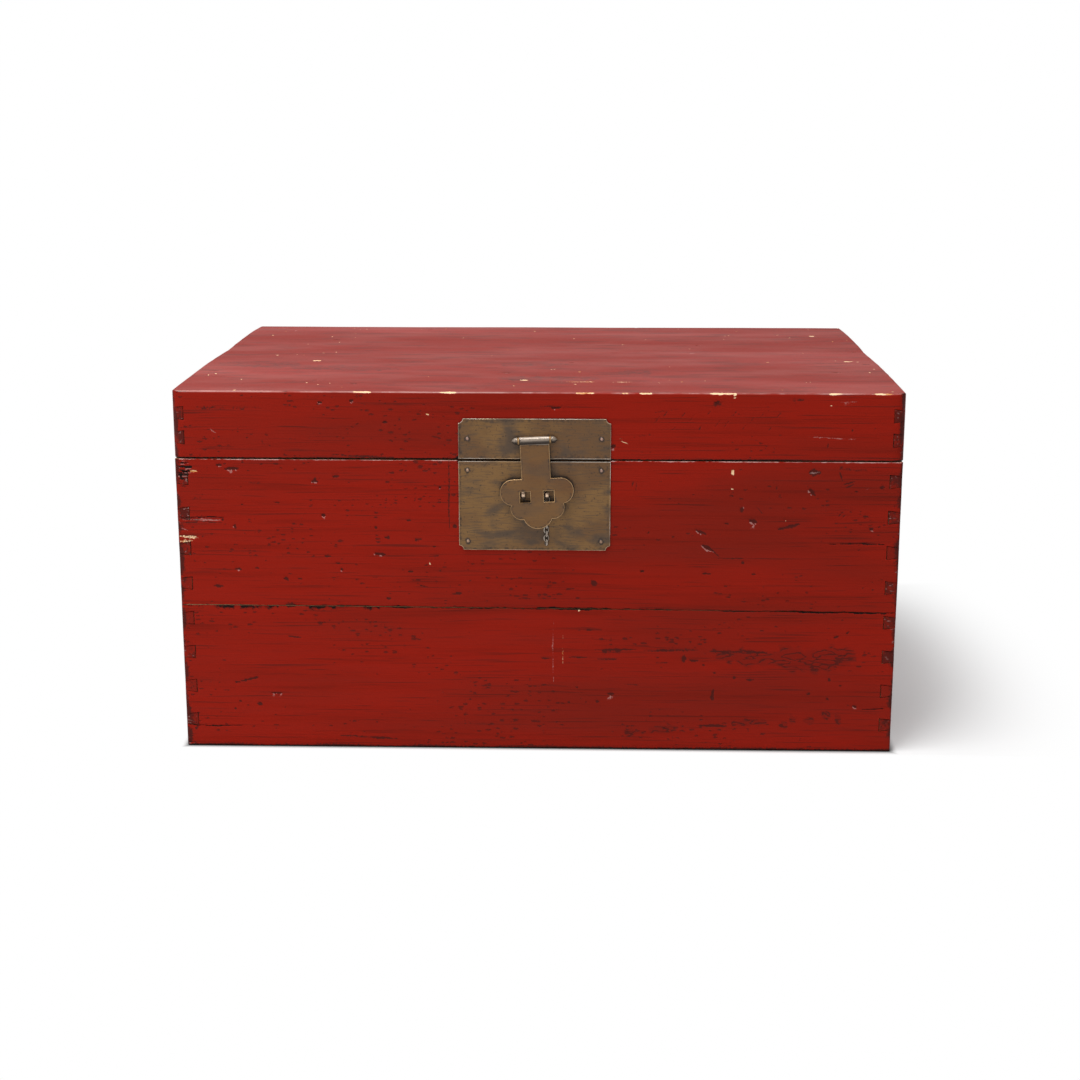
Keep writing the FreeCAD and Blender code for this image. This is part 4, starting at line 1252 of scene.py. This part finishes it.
def stadium_link(bm, centre, link):
    """Adds one chain link: a wire bent into two half rings with straight sides."""
    around, section = 28, 10
    dirt = bm.verts.layers.float.get("dirt") or bm.verts.layers.float.new("dirt")
    swivel = Matrix.Rotation(math.radians(link.turn), 3, "Z")
    rows = []
    for i in range(around):
        angle = 2 * math.pi * (i + 0.5) / around
        out = Vector((math.cos(angle), 0, math.sin(angle)))
        middle = out * link.bend + Vector((0, 0, math.copysign(link.straight, out.z)))
        row = []
        for j in range(section):
            tilt = 2 * math.pi * j / section
            spot = middle + link.wire * (out * math.cos(tilt) + Vector((0, math.sin(tilt), 0)))
            vert = bm.verts.new(Vector(centre) + swivel @ spot)
            # Painted shade, with dirt, on the inner side of the wire, where the links hide each other
            vert[dirt] = max(0.0, 0.55 - 0.8 * math.cos(tilt))
            row.append(vert)
        rows.append(row)
    for i in range(around):
        for j in range(section):
            a, b = rows[i], rows[(i + 1) % around]
            k = (j + 1) % section
            bm.faces.new((a[j], a[k], b[k], b[j]))


# Distance from the pin's middle and radius, in millimetres, from the middle out to the point
CAP_PROFILE = (
    (0, 2.0), (18.75, 2.0), (18.8, 3.6), (19.1, 4.0), (19.9, 4.0), (20.2, 3.5),
    (20.5, 3.9), (21.2, 3.7), (22.6, 2.9), (23.8, 1.9), (24.5, 1.2), (24.8, 0.5), (24.9, 0),
)


def turned_rod(bm, centre, axis, profile):
    """A rod turned to a profile, the same at both ends."""
    section = 32
    side = axis.orthogonal().normalized()
    across = axis.cross(side).normalized()
    stations = [(-place, radius) for place, radius in reversed(profile[1:])] + list(profile)
    rows = []
    for place, radius in stations:
        middle = centre + axis * place * MM
        steps = section if radius else 1
        angles = [2 * math.pi * j / section for j in range(steps)]
        spokes = [side * math.cos(angle) + across * math.sin(angle) for angle in angles]
        rows.append([bm.verts.new(middle + radius * MM * spoke) for spoke in spokes])
    for a, b in zip(rows, rows[1:]):
        for j in range(section):
            k = (j + 1) % section
            ring = [a[j % len(a)], a[k % len(a)], b[k % len(b)], b[j % len(b)]]
            bm.faces.new(list(dict.fromkeys(ring)))
    bmesh.ops.recalc_face_normals(bm, faces=bm.faces[:])


def broad_staple(node):
    """A staple's bow, hammered broader towards the right than the bent bar of the CAD."""
    bm = bmesh.new()
    bm.from_mesh(cad_mesh(node))
    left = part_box(node)[0].x
    for vert in bm.verts:
        vert.co.x = left + (vert.co.x - left) * STAPLE_BREADTH
    piece = new_piece(bm, node, "_broad", (old_metal("bright_brass"),))
    smooth(piece.data, TURNED_BEND)


def paint(nodes, material):
    """Gives carried-over CAD nodes their finish."""
    for node in nodes:
        mesh = cad_mesh(node)
        mesh.materials.clear()
        mesh.materials.append(material)


def slot_nodes(slot):
    return [node for node, used in SLOT_OF.items() if used == slot]


# Operators, one for each piece or group of like pieces

WALLS = ("front", "back", "left", "right")
WALL_BOARDS = ["%s_%s_board" % (wall, level) for wall in WALLS for level in ("lower", "upper")]
LID_BOARDS = ["lid_%s_board" % wall for wall in WALLS]
LID_PLANKS = ["lid_top_front_plank", "lid_top_back_plank"]
ENDS = (("left", -1), ("right", 1))

# Kinds of the scattered marks
WORN = ("dent", "nick", "streak", "line", "dent", "nick", "hairline")
SMALL = ("speck",)


class TRUNK_OT_carcass(bpy.types.Operator):
    """Lacquered boards of the four walls, with dovetails, seams, dents and chips"""

    bl_idname = "trunk.carcass"
    bl_label = "Carcass boards"

    def execute(self, context):
        wear = settings("wear")
        # The carcass's rim is painted pale, partly as rubbed wear and partly as a painted highlight; its lower
        # edge is painted darker towards the bottom
        form = Form(
            WALL_BOARDS,
            WALLS,
            rim=CARCASS_RIM,
            rubbed=0.8,
            foot_mask="scar",
            foot_dark_reach=5 * MM,
            corner=wear.corner,
            foot=wear.foot,
        )
        counts = [("front", WORN, 5), ("back", WORN, 45), ("left", WORN, 34), ("right", WORN, 34)]
        counts += [(wall, SMALL, 5) for wall in WALLS]
        marks = marks_on(form, counts, {"front": FRONT_MARKS + FRONT_SEAM})
        for node in WALL_BOARDS:
            lacquered_board(node, form, marks_near(node, marks))
        return {"FINISHED"}


class TRUNK_OT_lid(bpy.types.Operator):
    """Lacquered frame boards and crowned top planks of the lid"""

    bl_idname = "trunk.lid"
    bl_label = "Lid boards"

    def execute(self, context):
        # The lid's top arris is painted pale, partly as rubbed wear and partly as a painted highlight, and its
        # lower edge black, as painted shade of the gap beneath the lid
        form = Form(
            LID_BOARDS + LID_PLANKS,
            SIDES,
            rim=LID_RIM,
            rubbed=0.7,
            foot_mask="black",
            foot_dark_reach=1.8 * MM,
            corner=settings("wear").lid_corner,
            foot=0.0,
        )
        counts = [("front", WORN, 5), ("back", WORN, 10), ("left", WORN, 8), ("right", WORN, 8)]
        counts += [("top", WORN, 26), ("top", SMALL, 70), ("front", SMALL, 4)]
        marks = marks_on(form, counts, {"front": FRONT_MARKS + FRONT_TICKS, "top": TOP_MARKS})
        for node in LID_BOARDS:
            lacquered_board(node, form, marks_near(node, marks))
        for node in LID_PLANKS:
            lacquered_board(node, form, marks_near(node, marks), flat_angle=0.2)
        return {"FINISHED"}


class TRUNK_OT_bottom(bpy.types.Operator):
    """Bare bottom planks"""

    bl_idname = "trunk.bottom"
    bl_label = "Bottom planks"

    def execute(self, context):
        paint(slot_nodes("raw_wood"), raw_wood(False))
        return {"FINISHED"}


class TRUNK_OT_dowels(bpy.types.Operator):
    """Bamboo dowels and pegs in the joints"""

    bl_idname = "trunk.dowels"
    bl_label = "Dowels and pegs"

    def execute(self, context):
        paint(slot_nodes("dowel_wood"), bamboo())
        return {"FINISHED"}


class TRUNK_OT_lock(bpy.types.Operator):
    """Hasp with its bright roll, and the two lock plates behind it"""

    bl_idname = "trunk.lock"
    bl_label = "Lock plates and hasp"

    def execute(self, context):
        finishes = [old_metal(name) for name in ("brown_brass", "rubbed_brass", "roll_brass")]
        hasp = beaten_plate("hasp", 1, -1, finishes, reach=0.6 * MM)
        pivot = JOINTS["hasp_swing"]["pos_m"]
        for face in hasp.data.polygons:
            if face.center.z > pivot[2] - ROLL_REACH:
                face.material_index = ROLL
        finishes = [old_metal(name) for name in ("aged_brass", "pale_rim")]
        for level in ("upper", "lower"):
            # Painted shade, with dirt, on the plates round the nails, the staples and the chain, and under the
            # hasp
            near = ["lock_%s_nails" % level, "left_staple", "right_staple", "staple_chain"]
            near = [cad_mesh(node) for node in near] + [hasp.data]
            beaten_plate("lock_plate_" + level, 1, -1, finishes, near, reach=1.1 * MM)
        return {"FINISHED"}


class TRUNK_OT_chain(bpy.types.Operator):
    """Short chain on the right staple: broad links that face out, and narrow links between them"""

    bl_idname = "trunk.chain"
    bl_label = "Chain"

    def execute(self, context):
        low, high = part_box("staple_chain")
        middle = (low + high) / 2
        bm = bmesh.new()
        stadium_link(bm, (middle.x, middle.y, high.z - RING.bend - RING.wire), RING)
        first = low.z + LAST_LINK_RISE + (LINK_COUNT - 1) * LINK_PITCH
        for i in range(LINK_COUNT):
            link = NARROW_LINK if i % 2 else BROAD_LINK
            stadium_link(bm, (middle.x, middle.y, first - i * LINK_PITCH), link)
        bmesh.ops.recalc_face_normals(bm, faces=bm.faces[:])
        piece = new_piece(bm, "staple_chain", "_links", (old_metal("chain_metal"),))
        smooth(piece.data, LINK_BEND)
        return {"FINISHED"}


class TRUNK_OT_hasp_pin(bpy.types.Operator):
    """Pin of the hasp, with a ringed and pointed cap at each end"""

    bl_idname = "trunk.hasp_pin"
    bl_label = "Hasp pin"

    def execute(self, context):
        joint = JOINTS["hasp_swing"]
        bm = bmesh.new()
        turned_rod(bm, Vector(joint["pos_m"]), Vector(joint["axis"]), CAP_PROFILE)
        piece = new_piece(bm, "hasp_pin", "_turned", (old_metal("roll_brass"),))
        smooth(piece.data, TURNED_BEND)
        return {"FINISHED"}


class TRUNK_OT_fittings(bpy.types.Operator):
    """Pins, eyes, staples and bails of worn brass"""

    bl_idname = "trunk.fittings"
    bl_label = "Pins, eyes, staples and bails"

    def execute(self, context):
        paint(slot_nodes("worn_brass"), old_metal("worn_brass"))
        for end, _ in ENDS:
            broad_staple(end + "_staple")
        return {"FINISHED"}


class TRUNK_OT_nails(bpy.types.Operator):
    """Domed copper nails"""

    bl_idname = "trunk.nails"
    bl_label = "Nails"

    def execute(self, context):
        paint(slot_nodes("copper_nails"), old_metal("copper_nail"))
        return {"FINISHED"}


class TRUNK_OT_hinges(bpy.types.Operator):
    """Leaves of the two back hinges"""

    bl_idname = "trunk.hinges"
    bl_label = "Hinge leaves"

    def execute(self, context):
        finishes = [old_metal(name) for name in ("aged_brass", "rubbed_brass")]
        for end, _ in ENDS:
            for level in ("lid", "body"):
                nails = cad_mesh("hinge_%s_nails" % level)
                beaten_plate("%s_hinge_%s_leaf" % (end, level), 1, 1, finishes, (nails,))
        return {"FINISHED"}


class TRUNK_OT_handle_plates(bpy.types.Operator):
    """Back plates of the two bail handles"""

    bl_idname = "trunk.handle_plates"
    bl_label = "Handle plates"

    def execute(self, context):
        finishes = [old_metal(name) for name in ("aged_brass", "rubbed_brass")]
        for end, out in ENDS:
            nails = cad_mesh(end + "_handle_nails")
            beaten_plate(end + "_handle_plate", 0, out, finishes, (nails,))
        return {"FINISHED"}


# Stage


def white_rays(nodes):
    """1 for rays that show the background: camera, glossy and transmission rays."""
    path = nodes.add("LightPath").outputs
    seen = nodes.math("MAXIMUM", path["Is Camera Ray"], path["Is Glossy Ray"])
    return nodes.math("MAXIMUM", seen, path["Is Transmission Ray"])


def studio_world(level):
    """Even light from all round, which shows as white."""
    world = bpy.data.worlds.new("studio")
    bpy.context.scene.world = world
    world.use_nodes = True
    nodes = Nodes(world.node_tree)
    light = world.node_tree.nodes["Background"]
    light.inputs["Strength"].default_value = level
    light.inputs["Color"].default_value = WHITE
    white = nodes.add("Background", {"Color": WHITE, "Strength": 1.0})
    shown = nodes.add("MixShader", {0: white_rays(nodes), 1: light.outputs[0], 2: white.outputs[0]})
    nodes.feed(world.node_tree.nodes["World Output"].inputs["Surface"], shown.outputs[0])


def pale_floor(rgb):
    """A floor with a painted white glow, weaker in a patch shaped like the trunk's cast shadow and full far away
    and in bands in front of and behind it, so that the shadow shows there; and a painted contact shadow at the
    trunk's foot.
    """
    bpy.ops.mesh.primitive_circle_add(
        vertices=96, radius=FLOOR_RADIUS, fill_type="NGON", location=(0, 0, 0)
    )
    floor = bpy.context.object
    floor.name = "floor"
    material, nodes, shader = new_material("pale_floor", Roughness=0.9, Specular_IOR_Level=0.0)
    surface = material.node_tree.nodes["Principled BSDF"].outputs[0]
    glow = nodes.add("Emission", {"Color": WHITE, "Strength": 1.0}).outputs[0]
    place = nodes.add("TexCoord").outputs["Object"]
    x, y, _ = nodes.add("SeparateXYZ", {0: place}).outputs
    shaded = nodes.stretch(nodes.vector_math("SUBTRACT", place, SHADOW_MIDDLE), SHADOW_NARROWING)
    away = nodes.add("VectorMath", {0: shaded}, operation="LENGTH").outputs["Value"]
    # Painted glow: weaker in a patch shaped like the trunk's cast shadow, full far away and in bands in front of
    # and behind it
    glow_mask = nodes.ramp(away, *SHADOW_FADE)
    for band in (SHADOW_FRONT, SHADOW_BACK):
        glow_mask = nodes.math("MAXIMUM", glow_mask, nodes.ramp(y, *band))
    # Painted contact shadow: the floor's colour greys and its glow fades towards the trunk's foot
    beside = nodes.math("SUBTRACT", nodes.math("ABSOLUTE", x), FRONT_LENGTH / 2)
    before = nodes.math("SUBTRACT", nodes.math("ABSOLUTE", y), SIDE_LENGTH / 2)
    contact_shadow = nodes.ramp(nodes.math("MAXIMUM", beside, before), *CONTACT_SHADOW_FADE)
    nodes.feed(shader["Base Color"], nodes.mix(contact_shadow, CONTACT_SHADOW_GREY, opaque(rgb)))
    glow_mask = nodes.times(glow_mask, contact_shadow)
    bright = nodes.math("ADD", SHADOW_GLOW, nodes.times(glow_mask, 1 - SHADOW_GLOW))
    plain = nodes.times(contact_shadow, bright)
    share = nodes.times(white_rays(nodes), plain)
    shown = nodes.add("MixShader", {0: share, 1: surface, 2: glow}).outputs[0]
    nodes.feed(material.node_tree.nodes["Material Output"].inputs["Surface"], shown)
    floor.data.materials.append(material)


def soft_box(name, lamp, power):
    """A square lamp that looks at the middle of the trunk."""
    light = bpy.data.lights.new(name, "AREA")
    light.size = lamp.size
    light.energy = power
    box = bpy.data.objects.new(name, light)
    box.location = lamp.place
    towards = Vector(LAMP_TARGET) - Vector(lamp.place)
    box.rotation_euler = towards.to_track_quat("-Z", "Y").to_euler()
    bpy.context.scene.collection.objects.link(box)


class TRUNK_OT_stage(bpy.types.Operator):
    """Pale floor, soft studio light and the camera"""

    bl_idname = "trunk.stage"
    bl_label = "Stage"

    def execute(self, context):
        stage = settings("stage")
        scene = context.scene
        scene.view_settings.view_transform = "Standard"
        studio_world(stage.sky_level)
        pale_floor(stage.floor)
        soft_box("key", KEY, stage.key_power)
        soft_box("fill", FILL, stage.fill_power)
        camera = bpy.data.cameras.new("camera")
        camera.sensor_width = SENSOR_WIDTH
        camera.lens = stage.lens
        viewer = bpy.data.objects.new("camera", camera)
        viewer.location = stage.camera_place
        viewer.rotation_euler = stage.camera_turn
        scene.collection.objects.link(viewer)
        scene.camera = viewer
        return {"FINISHED"}


class TRUNK_PT_sidebar(bpy.types.Panel):
    """Lists the steps that dress the trunk"""

    bl_idname = "TRUNK_PT_sidebar"
    bl_label = "Lacquered trunk"
    bl_space_type = "VIEW_3D"
    bl_region_type = "UI"
    bl_category = "Trunk"

    def draw(self, context):
        for step in STEPS:
            self.layout.operator(step.bl_idname)


GROUPS = {"wood": TrunkWood, "brass": TrunkBrass, "wear": TrunkWear, "stage": TrunkStage}
STEPS = (
    TRUNK_OT_carcass,
    TRUNK_OT_lid,
    TRUNK_OT_bottom,
    TRUNK_OT_dowels,
    TRUNK_OT_lock,
    TRUNK_OT_hasp_pin,
    TRUNK_OT_chain,
    TRUNK_OT_fittings,
    TRUNK_OT_nails,
    TRUNK_OT_hinges,
    TRUNK_OT_handle_plates,
    TRUNK_OT_stage,
)


def register():
    for cls in (*GROUPS.values(), *STEPS, TRUNK_PT_sidebar):
        bpy.utils.register_class(cls)
    for name, group in GROUPS.items():
        setattr(bpy.types.Scene, "trunk_" + name, PointerProperty(type=group))


def unregister():
    for name in GROUPS:
        delattr(bpy.types.Scene, "trunk_" + name)
    for cls in (TRUNK_PT_sidebar, *reversed(STEPS), *reversed(GROUPS.values())):
        bpy.utils.unregister_class(cls)


def main():
    register()
    bpy.ops.trunk.carcass()
    bpy.ops.trunk.lid()
    bpy.ops.trunk.bottom()
    bpy.ops.trunk.dowels()
    bpy.ops.trunk.lock()
    bpy.ops.trunk.hasp_pin()
    bpy.ops.trunk.chain()
    bpy.ops.trunk.fittings()
    bpy.ops.trunk.nails()
    bpy.ops.trunk.hinges()
    bpy.ops.trunk.handle_plates()
    bpy.ops.trunk.stage()


if __name__ == "__main__":
    main()
